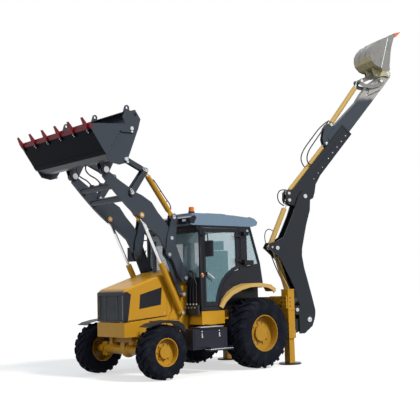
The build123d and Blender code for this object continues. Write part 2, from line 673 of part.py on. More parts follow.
LOWERED_GAP = LOWERED[1] - LIFT_BARREL
lift_barrel, lift_rod = ram(
    PINS["lift_base"], PINS["lift_eye"], LIFT_BORE_R, LIFT_ROD_R, LIFT_BARREL, MID_Y, 70, 46,
)
EYE_NECK = LIFT_ROD_R * 0.8
neck_at = along(PINS["lift_eye"], PINS["lift_base"], LOWERED_GAP - 30)
rod_start = along(PINS["lift_base"], PINS["lift_eye"], LIFT_FOOT + LIFT_STROKE)
rod_end = along(PINS["lift_eye"], PINS["lift_base"], EYE_LONG - 20)
lift_rod = joined(
    bar_between((rod_start[0], MID_Y, rod_start[1]), (rod_end[0], MID_Y, rod_end[1]), LIFT_ROD_R),
    strap(PINS["lift_eye"], neck_at, 46, EYE_NECK, *EYE_SPAN),
    strap(neck_at, rod_end, EYE_NECK, EYE_NECK, *EYE_SPAN),
)
lift_barrel -= hole(PINS["lift_base"], PIN_HOLE, *EYE_SPAN)
lift_rod -= hole(PINS["lift_eye"], PIN_HOLE + 5, *EYE_SPAN)
put("lift_barrels", both_sides(lift_barrel))
put("lift_rods", both_sides(lift_rod))
tilt_barrel, tilt_rod = ram(
    PINS["tilt_base"], PINS["lever_top"], TILT_BORE_R, TILT_ROD_R, TILT_BARREL, MID_Y, TILT_NECK, 42,
    60,
)
tilt_barrel -= hole(PINS["tilt_base"], PIN_HOLE, *EYE_SPAN)
tilt_rod -= hole(PINS["lever_top"], PIN_HOLE + 6, *EYE_SPAN)
put("tilt_barrels", both_sides(tilt_barrel))
put("tilt_rods", both_sides(tilt_rod))
for name, pin, low, high in (
    ("tilt_pins", "tilt_base", IDLER_IN[0], IDLER_OUT[1]),
    ("bucket_pins", "bucket", LEVER_IN[0], LEVER_OUT[1]),
    ("lever_pins", "lever_foot", LEVER_IN[0], LEVER_OUT[1]),
):
    pin_body = disc_y(PINS[pin], PIN_R, low, high)
    if name == "bucket_pins":
        pin_body = disc_y(PINS[pin], PIN_R, low - PIN_HEAD_T, high + PIN_HEAD_T)
        pin_body += disc_y(PINS[pin], PIN_HEAD_R, low - PIN_HEAD_T, low - 2)
        pin_body += disc_y(PINS[pin], PIN_HEAD_R, high + 2, high + PIN_HEAD_T)
    put(name, both_sides(pin_body))
link_stubs = [
    disc_y(PINS["lever_top"], PIN_R, *y)
    for y in ((LEVER_IN[0], LINK_IN[1]), (LINK_OUT[0], LEVER_OUT[1]))
]
put("link_pins", [side for stub in link_stubs for side in both_sides(stub)])
lever = joined(
    strap(PINS["lever_foot"], PINS["lever_top"], 56, 46, *LEVER_IN),
    strap(PINS["lever_foot"], PINS["lever_top"], 56, 46, *LEVER_OUT),
)
for pin in ("lever_foot", "lever_top"):
    lever -= hole(PINS[pin], PIN_HOLE, LEVER_IN[0], LEVER_OUT[1])
put("levers", both_sides(lever))
link = joined(
    strap(PINS["lever_top"], PINS["link_end"], 40, 40, *LINK_IN),
    strap(PINS["lever_top"], PINS["link_end"], 40, 40, *LINK_OUT),
)
link -= hole(PINS["lever_top"], PIN_HOLE, LINK_IN[0], LINK_OUT[1])
link -= hole(PINS["link_end"], PIN_HOLE + 6, LINK_IN[0], LINK_OUT[1])
put("links", both_sides(link))

# Loader bucket: rear body with lugs, and the clam that carries floor, teeth and front sides
SIDE_REAR = [
    (3016, 4192), (3053, 4309), (2998, 4395), (2810, 4449), (2704, 4304),
    (2749, 4143), (2962, 3636), (3030, 3543),
    (3135, 3513), (3315, 3542), (3400, 3655), (3036, 4140),
]
CLAM_SIDE = [(3404, 3667), (3444, 3706), (3712, 4085), (3690, 4122), (3660, 4130), (3494, 4148), (3050, 4187)]
CLAM_GAP = 6.0
side_y = (BUCKET_HALF - CLAM_SIDE_T - CLAM_GAP - BUCKET_SIDE_T, BUCKET_HALF - CLAM_SIDE_T - CLAM_GAP)
BACK_PATH = [
    (2990, 4395), (2905, 4425), (2850, 4330), (2880, 4190), (3040, 3780), (3120, 3650), (3210, 3605),
    (3300, 3615), (3390, 3668),
]


bucket = plate(offset_path(BACK_PATH, -SHELL_T), -side_y[0], side_y[0])
bucket += joined(both_sides(plate(SIDE_REAR, *side_y)))
LUG = [
    (2800, 3870), (2890, 3905), (3010, 3900), (3150, 3655), (3120, 3560), (3085, 3466), (3035, 3441),
    (2975, 3466), (2795, 3795),
]
for low, high in (LEVER_IN, LEVER_OUT):
    lug = plate(LUG, low, high) + disc_y(PINS["link_end"], 50, low, high)
    lug += disc_y(PINS["bucket"], 70, low, high)
    lug -= hole(PINS["bucket"], PIN_HOLE, low, high)
    bucket += joined(both_sides(lug))
bucket += joined(both_sides(disc_y(PINS["link_end"], PIN_R, LEVER_OUT[1], LEVER_OUT[1] + PIN_HEAD)))
for y in EYE_Y:
    ear = strap(EYE_AT, (2900, 4400), EYE_R, EYE_R + 10, y - 12, y + 12)
    bucket += ear - hole(EYE_AT, EYE_BORE, y - 12, y + 12)
bucket += joined(both_sides(disc_y(PINS["clam"], 40, side_y[0], BUCKET_HALF + 4)))
put("loader_bucket", bucket)
clam_y = (BUCKET_HALF - CLAM_SIDE_T, BUCKET_HALF)
clam_side = plate(CLAM_SIDE, *clam_y)
clam_side += strap(PINS["clam"], (3080, 4110), 70, 60, *clam_y)
clam_side -= hole(PINS["clam"], 40 + RUN_GAP, *clam_y)
clam = joined(both_sides(clam_side))
FLOOR_PATH = [(3406, 3664), (3444, 3706), (3712, 4085)]
LIP = [(3672, 4052), (3688, 4042), (3716, 4082), (3712, 4122), (3694, 4108)]
TOOTH = [
    (3646, 3996), (3662, 3978), (3704, 4020), (3762, 4094), (3812, 4212), (3802, 4216), (3734, 4138),
    (3708, 4108),
]
clam += plate(offset_path(FLOOR_PATH, SHELL_T), -BUCKET_HALF, BUCKET_HALF)
clam += plate(LIP, -BUCKET_HALF, BUCKET_HALF)
for i in range(TOOTH_COUNT):
    y = (i - (TOOTH_COUNT - 1) / 2) * TOOTH_PITCH
    clam += plate(TOOTH, y - TOOTH_HALF, y + TOOTH_HALF)
put("bucket_clam", clam)

# Cab
FRAME_Y = (CAB_HALF - 40, CAB_HALF)
REAR_LINE = [(-34, 2612), (-261, 1930), (-320, 1560)]
PANEL_EDGE = [(808, 1138), (781, 1319), (735, 1462), (656, 1594), (554, 1689), (400, 1785), (272, 1815)]
FENDER = [
    (-385, 1395), (-330, 1470), (-180, 1525), (30, 1545), (252, 1540), (430, 1490), (600, 1400),
    (725, 1275), (796, 1150),
]
WELL = FENDER[1:7]
WELL_Y = (REAR_TRACK / 2 - REAR_TYRE_W / 2 - 41, REAR_TRACK / 2 - REAR_TYRE_W / 2 - 23)
cab = joined(
    block((700, 1220), (-CAB_HALF, CAB_HALF), (FLOOR_Z - 35, FLOOR_Z)),
    block((-320, 700), (-WELL_Y[0], WELL_Y[0]), (FLOOR_Z - 35, FLOOR_Z)),
    block((1160, 1220), (-CAB_HALF, CAB_HALF), (SCREEN_Z[1], 2612)),
    block((1160, 1220), (-CAB_HALF, CAB_HALF), (FLOOR_Z, SCREEN_Z[0])),
    block((-40, 0), (-FRAME_Y[0], FRAME_Y[0]), (2560, 2612)),
    block((-320, -290), (-WELL_Y[0], WELL_Y[0]), (FLOOR_Z, 1560)),
    [
        block((1020, 1140), (y - RAIL_T / 2, y + RAIL_T / 2), (RAIL_Z[1], FLOOR_Z - 35))
        for y in (-RAIL_Y, RAIL_Y)
    ],
    [
        block((-260, -140), (y - RAIL_T / 2, y + RAIL_T / 2), (RAIL_Z[1], FLOOR_Z - 35))
        for y in (-RAIL_Y, RAIL_Y)
    ],
)
cab_side = joined(
    block((1160, 1220), FRAME_Y, (FLOOR_Z, 2612)),
    block((70, 262), FRAME_Y, (1780, 2612)),
    block((-34, 1220), FRAME_Y, (2575, 2612)),
    block((812, 1220), FRAME_Y, (FLOOR_Z - 35, FLOOR_Z + 30)),
    plate(
        
        PANEL_EDGE + [(262, 1840), (-200, 1925), (-261, 1930), (-320, 1560), (-320, 1475)] + FENDER[2:],
        *FRAME_Y
    ),
    plate([REAR_LINE[0], REAR_LINE[1], (-267, 1890), (-221, 1890), (-221, 1930), (6, 2612)], *FRAME_Y),
    plate(offset_path(WELL, 12), WELL_Y[0], FRAME_Y[0]),
    plate([(-320, 1475), (-320, 1560), (-290, 1560), (-290, 1488)], WELL_Y[0], FRAME_Y[0]),
    plate(
        [(-330, FLOOR_Z - 35), (720, FLOOR_Z - 35), (720, 1290)] + [(x, z + 6) for x, z in WELL[::-1]],
        *WELL_Y
    ),
)
for z in DOOR_PIN_Z:
    for low in (z - DOOR_EYE - 18, z + DOOR_EYE + 4):
        cab_side += block((200, DOOR_PIN[0] - 7), (CAB_HALF - 1, DOOR_PIN[1] + 10), (low, low + 14))
        cab_side += block((250, DOOR_PIN[0] + 11), (DOOR_PIN[1] - 10, DOOR_PIN[1] + 10), (low, low + 14))
    cab_side += Pos(*DOOR_PIN, z) * Cylinder(DOOR_PIN_R, 2 * DOOR_EYE + 30)
cab += joined(both_sides(cab_side))
put("cab_frame", cab)
PANE_Y = (CAB_HALF - 24, CAB_HALF - 24 + GLASS_T)
windscreen = block(
    (1184, 1190), (-FRAME_Y[0] + FIT_GAP, FRAME_Y[0] - FIT_GAP),
    (SCREEN_Z[0] + FIT_GAP, SCREEN_Z[1] - FIT_GAP),
)
quarter = plate(
    [(70 - FIT_GAP, 2575 - FIT_GAP), (70 - FIT_GAP, 1881), (-219.5, 1931), (-6, 2575 - FIT_GAP)],
    *PANE_Y
)
rear_pane = plate(
    [
        (-22, 2560 - FIT_GAP), (-16, 2560 - FIT_GAP), (-226, 1930), (-284, 1561), (-290, 1561),
        (-232, 1930),
    ],
    -FRAME_Y[0] + FIT_GAP, FRAME_Y[0] - FIT_GAP,
)
put("cab_glass", windscreen, both_sides(quarter), rear_pane)
roof_side = [
    (-209, 2700), (-177, 2640), (-60, 2612 + FIT_GAP), (1400, 2612 + FIT_GAP), (1450, 2634),
    (1462, 2745), (1330, 2790), (804, 2815), (427, 2812), (38, 2785), (-160, 2745),
]
roof = plate(roof_side, -ROOF_HALF, ROOF_HALF)
roof += block((180, 1030), (-330, 330), (2760, 2880))
roof += Pos(996, 300, 2870) * Cylinder(50, 60)
roof += Pos(996, 300, 2940) * Cylinder(42, 90)
for y in (-660, -420, 420, 660):
    roof += block((1430, 1472), (y - 55, y + 55), (2672, 2728))
roof += block((1430, 1469), (-740, 740), (2644, 2662))
put("cab_roof", roof)
FENDER_OUT = 1050.0
FENDER_LIP = 55.0
fender_plan = [(-400, CAB_HALF - 1), (830, CAB_HALF - 1), (830, 796), (230, FENDER_OUT), (-400, FENDER_OUT)]
inner_plan = [
    (-420, CAB_HALF - 2), (805, CAB_HALF - 2), (805, 788), (225, FENDER_OUT - 20),
    (-420, FENDER_OUT - 20),
]
inside_lip = extrude(make_face(Polyline(*inner_plan, close=True)), amount=3000)
fender = plate(offset_path(FENDER, 14), CAB_HALF, FENDER_OUT)
fender += plate(offset_path(FENDER, -FENDER_LIP), CAB_HALF, FENDER_OUT) - inside_lip
fender_shape = fender & extrude(make_face(Polyline(*fender_plan, close=True)), amount=3000)
put("rear_fenders", both_sides(fender_shape))
for side, name in ((1, "left"), (-1, "right")):
    outline = [
        (820, 1168), (1152, 1168), (1152, 2567), (270, 2567), (270, 1845),
        (402, 1795), (560, 1698), (664, 1600),
        (743, 1465), (789, 1322),
    ]
    glass = [
        (860, 1250), (1092, 1250), (1092, 2500), (345, 2500), (345, 1880),
        (430, 1850), (600, 1745), (715, 1630),
        (800, 1480), (845, 1340),
    ]
    leaf = plate(outline, *FRAME_Y) - plate(glass, FRAME_Y[0] - 5, FRAME_Y[1] + 5)
    for z in DOOR_PIN_Z:
        leaf += Pos(*DOOR_PIN, z) * Cylinder(DOOR_PIN_R + 6, 2 * DOOR_EYE)
        leaf += block((DOOR_PIN[0], 360), (CAB_HALF, CAB_HALF + 22), (z - DOOR_EYE, z + DOOR_EYE))
        leaf -= Pos(*DOOR_PIN, z) * Cylinder(DOOR_PIN_R + RUN_GAP, 4 * DOOR_EYE)
    leaf += bar_between((1092, CAB_HALF + 30, 1766), (960, CAB_HALF + 30, 1675), 10)
    leaf += bar_between((1085, CAB_HALF - 5, 1761), (1085, CAB_HALF + 36, 1761), 15)
    leaf += block((1070, 1100), (CAB_HALF - 10, CAB_HALF + 10), (1700, 1770))
    centre = (sum(x for x, z in glass) / len(glass), sum(z for x, z in glass) / len(glass))
    pane_outline = [(x + (centre[0] - x) * 0.001, z + (centre[1] - z) * 0.001) for x, z in glass]
    pane = plate(pane_outline, *PANE_Y)
    shapes = [leaf, pane]
    put("door_" + name, [s if side > 0 else mirror(s, Plane.XZ) for s in shapes])
inside = joined(
    block((180, 640), (-240, 240), (1560, 1680)),
    block((60, 200), (-230, 230), (1640, 2180)),
    block((70, 170), (-140, 140), (2170, 2380)),
    block((220, 560), (-200, 200), (FLOOR_Z, 1570)),
)
console = joined(
    block((1040, 1150), (-300, 300), (FLOOR_Z, 1500)),
    bar_between((1080, 0, 1450), (880, 0, 1700), 40),
    Location((874, 0, 1707), (0, -38.7, 0)) * (Torus(185, 16) + Box(360, 30, 12) + Cylinder(45, 30)),
)
put("cab_interior", inside, console)
mirrors = []
for side in (1, -1):
    arm_bar = bar_between((1190, side * (CAB_HALF + 12), 2430), (1300, side * 1080, 2440), 11)
    arm_bar += bar_between((1300, side * 1080, 2450), (1320, side * 1120, 2300), 11)
    arm_bar += Pos(1190, side * (CAB_HALF + 8 + FIT_GAP), 2430) * Box(50, 16, 60)
    mirrors.append(arm_bar + Pos(1325, side * 1145, 2175) * Rot(0, 0, side * -6) * Box(40, 215, 275))
put("mirrors", mirrors)

# Toolbox and tank with steps below the doors
BOX_X = (REAR_X + REAR_TYRE_R + 145, FRONT_X - FRONT_TYRE_R - 205)
BOX_MID = (BOX_X[0] + BOX_X[1]) / 2
box = joined(
    block(BOX_X, (FRAME_Y[0] - 110, BOX_OUT), (440, 790)),
    block((BOX_X[0] + 110, BOX_X[1] - 160), (700, BOX_OUT + 25), (790, 815)),
    block((BOX_X[0] - 40, BOX_X[1] - 295), (BOX_OUT - 30, BOX_OUT + 115), (405, 430)),
    block((BOX_X[0] - 20, BOX_X[0]), (800, BOX_OUT + 115), (405, 470)),
    block((BOX_X[1] - 315, BOX_X[1] - 295), (BOX_OUT - 30, BOX_OUT + 115), (405, 470)),
    block((BOX_X[0] - 10, BOX_MID), (RAIL_Y + RAIL_T / 2, FRAME_Y[0] + 20), (620, 700)),
    block((BOX_X[0] + 10, BOX_MID), (640, 770), (700, 830)),
)
put("side_boxes", both_sides(box))

# Rear frame: rails that carry the sideways carriage
SLIDE_X = (LEG_X - 60 - 55, LEG_X - 60)
rear = joined(
    [block(SLIDE_X, (-790, 790), z) for z in ((560, 660), (1150, 1260))],
    [block((SLIDE_X[0], LEG_X), (y - 30, y + 30), (560, 1260)) for y in (-760, 760)],
)


def dig_place(shape):
    """Move a digger shape from its own plane to the vehicle."""
    return Location((DIG_POST_X, DIG_SHIFT, 0), (0, 0, 180 - DIG_SWING)) * shape


CARRIAGE_HALF = 220.0
POST_PIN_R = 40.0
LUG_Z = ((490.0, 560.0), (832.0, 897.0))
face_x = SLIDE_X[0] - RUN_GAP
carriage = block((face_x - 60, face_x), (DIG_SHIFT - CARRIAGE_HALF, DIG_SHIFT + CARRIAGE_HALF), (500, 1290))
for low, high in LUG_Z:
    carriage += block((DIG_POST_X, face_x - 20), (DIG_SHIFT - 90, DIG_SHIFT + 90), (low, high))
    carriage += Pos(DIG_POST_X, DIG_SHIFT, (low + high) / 2) * Cylinder(90, high - low)
    carriage -= Pos(DIG_POST_X, DIG_SHIFT, (low + high) / 2) * Cylinder(POST_PIN_R + RUN_GAP, high - low + 10)
put("carriage", carriage)

# Digger: post, boom, dipper and bucket
CHEEK = (140.0, 170.0)
BOOM_T = (105.0, 130.0)
SHELL_Y = (75.0, 95.0)
INNER_HALF = 68.0
DPIN_R = 28.0
DPIN_HOLE = DPIN_R + RUN_GAP
SLIDE_PIN_R = 20.0
STUB_IN = EYE_T / 2 + 6


def pair(points, layer):
    """Two plates of one outline, at plus and minus a layer."""
    return joined(both_sides(plate(points, *layer)))


def pin_across(name, half, r=DPIN_R):
    """Pin through the digger's plane at a named point."""
    return disc_y(DIG[name], r, -half, half)


def pin_stubs(name, inner, outer):
    """Two short pins at a named point, which leave the eye between them free."""
    return joined(both_sides(disc_y(DIG[name], DPIN_R, inner, outer)))


cheek = [
    (105, 540), (220, 540), (400, 680), (450, 810), (400, 925), (160, 1090),
    (-20, 1090), (-50, 960), (0, 915), (105, 915),
]
post = pair(cheek, CHEEK)
post += Cylinder(POST_PIN_R, 430).moved(Location((0, 0, 700)))
post += Cylinder(75, 260).moved(Location((0, 0, 700)))
post += block((0, 170), (-CHEEK[0], CHEEK[0]), (575, 825))
post += pin_across("foot", CHEEK[1] + 10, 38)
post += pin_stubs("boom_ram_base", STUB_IN, CHEEK[1] + 10)
put("kingpost", dig_place(post))
BOOM = [
    (345, 700), (470, 790), (495, 890), (500, 990), (440, 1240), (340, 1620),
    (280, 1840), (240, 2080), (250, 2230),
    (360, 2690), (460, 3000), (480, 3260), (400, 3390), (300, 3390), (200, 3260),
    (60, 2900), (-70, 2630), (-160, 2460),
    (-320, 2370), (-450, 2345), (-505, 2250), (-400, 2160), (-250, 2020),
    (-90, 1720), (40, 1470), (100, 1230),
    (160, 1080), (220, 940), (215, 790),
]
boom = pair(BOOM, BOOM_T)
rear_edge = [
    (470, 1130), (440, 1240), (340, 1620), (280, 1840), (240, 2080), (250, 2230), (360, 2690),
    (420, 2900),
]
boom += plate(offset_path(rear_edge, 20), -BOOM_T[0], BOOM_T[0])
boom += plate(offset_path([(220, 1000), (160, 1080), (100, 1230), (50, 1430)], -20), -BOOM_T[0], BOOM_T[0])
boom += disc_y(DIG["foot"], 95, -BOOM_T[1], BOOM_T[1])
boom -= hole(DIG["foot"], 38 + RUN_GAP, -BOOM_T[1], BOOM_T[1])
for name in ("knee", "nose", "elbow"):
    boom += pin_across(name, BOOM_T[1] + 8, 36 if name == "elbow" else DPIN_R)
put("boom", dig_place(boom))


def dig_ram(base, eye, bore_r, rod_r, barrel_end, neck, eye_r, name, holes=(DPIN_HOLE, DPIN_HOLE + 6)):
    """Cylinder of the digger as two nodes, with the bores of its two eyes."""
    barrel, rod = ram(DIG[base], DIG[eye], bore_r, rod_r, barrel_end, 0.0, neck, eye_r)
    barrel -= hole(DIG[base], holes[0], -EYE_T, EYE_T)
    rod -= hole(DIG[eye], holes[1], -EYE_T, EYE_T)
    put(name + "_barrel", dig_place(barrel))
    put(name + "_rod", dig_place(rod))


dig_ram("knee", "boom_ram_base", 58, 30, 1080, 70, 48, "boom_ram")
dig_ram("nose", "dipper_ram_eye", 52, 27, 860, 70, 48, "dipper_ram")


def slide_point(s, t):
    """Point of the dipper: s along it, t towards the cab side, in the digger's plane."""
    return (1130 + 0.665 * s - 0.747 * t, 4140 + 0.747 * s + 0.665 * t)


DIG["tail"] = slide_point(-1339, 300)
DIG["slide_eye"] = slide_point(81, 300)


SHELL = [
    (-50, 3210), (-20, 3140), (60, 3105), (170, 3080), (290, 3190), (460, 3195),
    (570, 3250), (610, 3370), (640, 3530),
    slide_point(-560, 0), slide_point(640, 0), slide_point(640, 280), slide_point(-1190, 280), (-40, 3370),
]
shell = pair(SHELL, SHELL_Y)
shell += plate(
    [slide_point(-900, 0), slide_point(640, 0), slide_point(640, 22), slide_point(-900, 22)],
    -SHELL_Y[0], SHELL_Y[0],
)
shell += pin_across("tail", SHELL_Y[1], SLIDE_PIN_R)
shell += pin_stubs("dipper_ram_eye", STUB_IN, SHELL_Y[1])
shell -= hole(DIG["elbow"], 36 + RUN_GAP, -SHELL_Y[1], SHELL_Y[1])
put("dipper", dig_place(shell))
NOSE_W = 98.0
INNER = [
    slide_point(-1000, 45), slide_point(640, 60), (2350, 5610), (2470, 5760), (2600, 5920),
    (2610, 6010), (2540, 6080),
    (2450, 6060), (2290, 5880), (2100, 5760), (1890, 5540), (1740, 5330), slide_point(500, 400),
    slide_point(190, 360), slide_point(150, 250),
    slide_point(-1000, 250),
]
inner = plate(INNER, -INNER_HALF, INNER_HALF)
inner += plate(
    [
        (2010, 5480), (2370, 5640), (2600, 5920), (2610, 6010), (2540, 6080), (2450, 6060),
        (2290, 5880), (2100, 5740),
    ],
    -NOSE_W, NOSE_W,
)
EAR = [
    slide_point(*p)
    for p in ((30, 240), (30, 330), (90, 420), (300, 540), (420, 545), (500, 395), (200, 240))
]
inner += pair(EAR, (40.0, 60.0))
for s in (-980, 300, 580):
    for y in (-1, 1):
        low, high = sorted((y * INNER_HALF, y * (SHELL_Y[0] - RUN_GAP)))
        inner += plate(
            [
                slide_point(s - 40, 60), slide_point(s + 40, 60), slide_point(s + 40, 240),
                slide_point(s - 40, 240),
            ],
            low, high,
        )
inner += pin_across("slide_eye", 60, SLIDE_PIN_R)
inner += pin_across("bucket_ram_base", 62)
inner += pin_across("tip", 128, 34)
inner += pin_across("lever_base", 126)
put("inner_dipper", dig_place(inner))
dig_ram(
    "tail", "slide_eye", 36, 22, 1290, 52, 36, "slide_ram",
    (SLIDE_PIN_R + RUN_GAP, SLIDE_PIN_R + RUN_GAP),
)
dig_ram("bucket_ram_base", "lever_end", 52, 27, 1060, 60, 44, "bucket_ram")
LEVER_Y = (106.0, 122.0)
lever_arc = offset_path([(2370, 5830), (2250, 5745), (2080, 5700), (1930, 5715), (1830, 5770)], 80)
dig_lever = pair(lever_arc, LEVER_Y) + joined(
    [
        disc_y(DIG[n], 52, *y)
        for n in ("lever_base", "lever_end")
        for y in (LEVER_Y, (-LEVER_Y[1], -LEVER_Y[0]))
    ]
)
dig_lever -= hole(DIG["lever_base"], DPIN_HOLE, -LEVER_Y[1], LEVER_Y[1])
dig_lever += pin_stubs("lever_end", STUB_IN, LEVER_Y[1])
put("tipping_lever", dig_place(dig_lever))
DIG_LINK_Y = (44.0, 64.0)
dig_link = joined(both_sides(strap(DIG["lever_end"], DIG["bucket_link"], 46, 46, *DIG_LINK_Y)))
dig_link -= hole(DIG["lever_end"], DPIN_HOLE, -DIG_LINK_Y[1], DIG_LINK_Y[1])
dig_link -= hole(DIG["bucket_link"], DPIN_HOLE + 6, -DIG_LINK_Y[1], DIG_LINK_Y[1])
dig_link += joined(
    both_sides(plate([(1990, 5800), (2070, 5835), (2050, 5880), (1970, 5845)], 0, DIG_LINK_Y[0])),
)
put("bucket_link", dig_place(dig_link))
DIG_HALF = 310.0
DIG_SIDE = [
    (2600, 6760), (2510, 6520), (2480, 6380), (2455, 6200), (2440, 6110), (2270, 6075),
    (2100, 6085), (1985, 6180), (1960, 6280),
    (1970, 6380), (2030, 6490), (2140, 6600), (2460, 6750), (2590, 6790),
]
DIG_BACK = [
    (2440, 6110), (2270, 6075), (2100, 6085), (1985, 6180), (1960, 6280), (1970, 6380), (2030, 6490),
    (2140, 6600), (2460, 6750), (2600, 6790),
]
dig_bucket = pair(DIG_SIDE, (DIG_HALF - 18, DIG_HALF))
dig_bucket += plate(offset_path(DIG_BACK, -16), -DIG_HALF, DIG_HALF)
DIG_LUG = [
    (2560, 5925), (2585, 5985), (2560, 6040), (2440, 6122), (2270, 6087), (2115, 6095), (2165, 5930),
    (2230, 5875), (2400, 5920),
]
LUG_Y = (106.0, 128.0)
lugs = pair(DIG_LUG, LUG_Y) + joined(both_sides(disc_y(DIG["tip"], 68, *LUG_Y)))
lugs -= hole(DIG["tip"], 34 + RUN_GAP, -LUG_Y[1], LUG_Y[1])
dig_bucket += lugs
dig_bucket += pin_stubs("bucket_link", DIG_LINK_Y[1] + 6, LUG_Y[1])
for i in range(5):
    y = (i - 2) * (DIG_HALF - 45) / 2
    dig_bucket += plate(
        [(2520, 6770), (2530, 6742), (2610, 6762), (2765, 6868), (2600, 6796)], y - 28, y + 28,
    )
put("digging_bucket", dig_place(dig_bucket))

# The rear frame belongs to the main frame
put("main_frame", frame + rear)


def assembly_shift():
    """Middle of the assembly's box in x and y, which becomes the origin."""
    boxes = [node.bounding_box() for node in NODES.values()]
    middle = []
    for axis in ("X", "Y"):
        low = min(getattr(b.min, axis) for b in boxes)
        high = max(getattr(b.max, axis) for b in boxes)
        middle.append((low + high) / 2)
    return middle


if __name__ == "__main__":
    os.makedirs("parts", exist_ok=True)
    middle_x, middle_y = assembly_shift()
    for name, node in NODES.items():
        export_step(Pos(-middle_x, -middle_y, 0) * node, "parts/" + name + ".step")
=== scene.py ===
"""Looks of the backhoe loader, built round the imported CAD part.

Every assembly draws in the vehicle's own frame: metres, +X forward, +Y to the left, +Z up, with the zero on
the ground under the middle of the rear axle. The digger draws in its upright plane behind the swing post.
"""

import logging
import math
from dataclasses import dataclass, field
from enum import Enum
from typing import Any, Callable, Iterable, Sequence

import bmesh
import bpy
from mathutils import Matrix, Vector


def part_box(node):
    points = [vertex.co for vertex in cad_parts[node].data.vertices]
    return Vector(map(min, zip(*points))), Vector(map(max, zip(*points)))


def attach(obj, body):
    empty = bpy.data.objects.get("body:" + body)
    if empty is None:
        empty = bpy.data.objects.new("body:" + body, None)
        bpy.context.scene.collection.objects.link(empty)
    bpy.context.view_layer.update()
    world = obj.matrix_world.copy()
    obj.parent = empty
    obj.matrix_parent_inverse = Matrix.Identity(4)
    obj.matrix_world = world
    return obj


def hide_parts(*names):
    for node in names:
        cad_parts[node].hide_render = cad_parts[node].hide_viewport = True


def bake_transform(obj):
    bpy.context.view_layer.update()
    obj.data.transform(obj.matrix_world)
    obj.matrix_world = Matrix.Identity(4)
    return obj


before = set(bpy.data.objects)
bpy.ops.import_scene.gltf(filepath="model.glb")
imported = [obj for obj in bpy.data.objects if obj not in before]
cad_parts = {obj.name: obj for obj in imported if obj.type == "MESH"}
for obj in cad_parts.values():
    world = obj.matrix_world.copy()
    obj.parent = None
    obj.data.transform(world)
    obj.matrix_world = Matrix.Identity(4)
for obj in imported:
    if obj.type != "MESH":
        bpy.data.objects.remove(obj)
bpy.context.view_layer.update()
LOG = logging.getLogger("backhoe_loader")

# Outputs of the Light Path and Texture Coordinate nodes, by index.
CAMERA_RAY = 0
GLOSSY_RAY = 3
TRANSMISSION_RAY = 6
OBJECT_COORDINATES = 3

Point2 = tuple[float, float]
Point3 = tuple[float, float, float]
Colour = tuple[float, float, float]


class Side(Enum):
    """The two sides of the machine."""

    LEFT = 1
    RIGHT = -1

    @property
    def word(self) -> str:
        """Lower-case name used in node and body names."""
        return self.name.lower()


class Wired:
    """A socket whose value is used in arithmetic, so shader maths reads as an expression."""

    def __init__(self, graph: "Graph", socket: bpy.types.NodeSocket) -> None:
        """Wraps a socket.

        Args:
            graph: The graph that the maths nodes are added to.
            socket: The output socket that holds the value.
        """
        self.graph = graph
        self.socket = socket

    def _math(self, operation: str, first: "Wired | float", second: "Wired | float") -> "Wired":
        """Adds one Math node and returns its result."""
        return self.graph.node("ShaderNodeMath", {"operation": operation}, {0: first, 1: second})

    def __add__(self, other: "Wired | float") -> "Wired":
        """Sum."""
        return self._math("ADD", self, other)

    def __radd__(self, other: float) -> "Wired":
        """Sum with a number on the left."""
        return self._math("ADD", other, self)

    def __sub__(self, other: "Wired | float") -> "Wired":
        """Difference."""
        return self._math("SUBTRACT", self, other)

    def __rsub__(self, other: float) -> "Wired":
        """Difference from a number."""
        return self._math("SUBTRACT", other, self)

    def __mul__(self, other: "Wired | float") -> "Wired":
        """Product."""
        return self._math("MULTIPLY", self, other)

    def __rmul__(self, other: float) -> "Wired":
        """Product with a number on the left."""
        return self._math("MULTIPLY", other, self)

    def between(self, low: float, high: float) -> "Wired":
        """Smooth step from 0 at low to 1 at high."""
        settings = {"interpolation_type": "SMOOTHSTEP", "clamp": True}
        return self.graph.node("ShaderNodeMapRange", settings, {0: self, 1: low, 2: high})


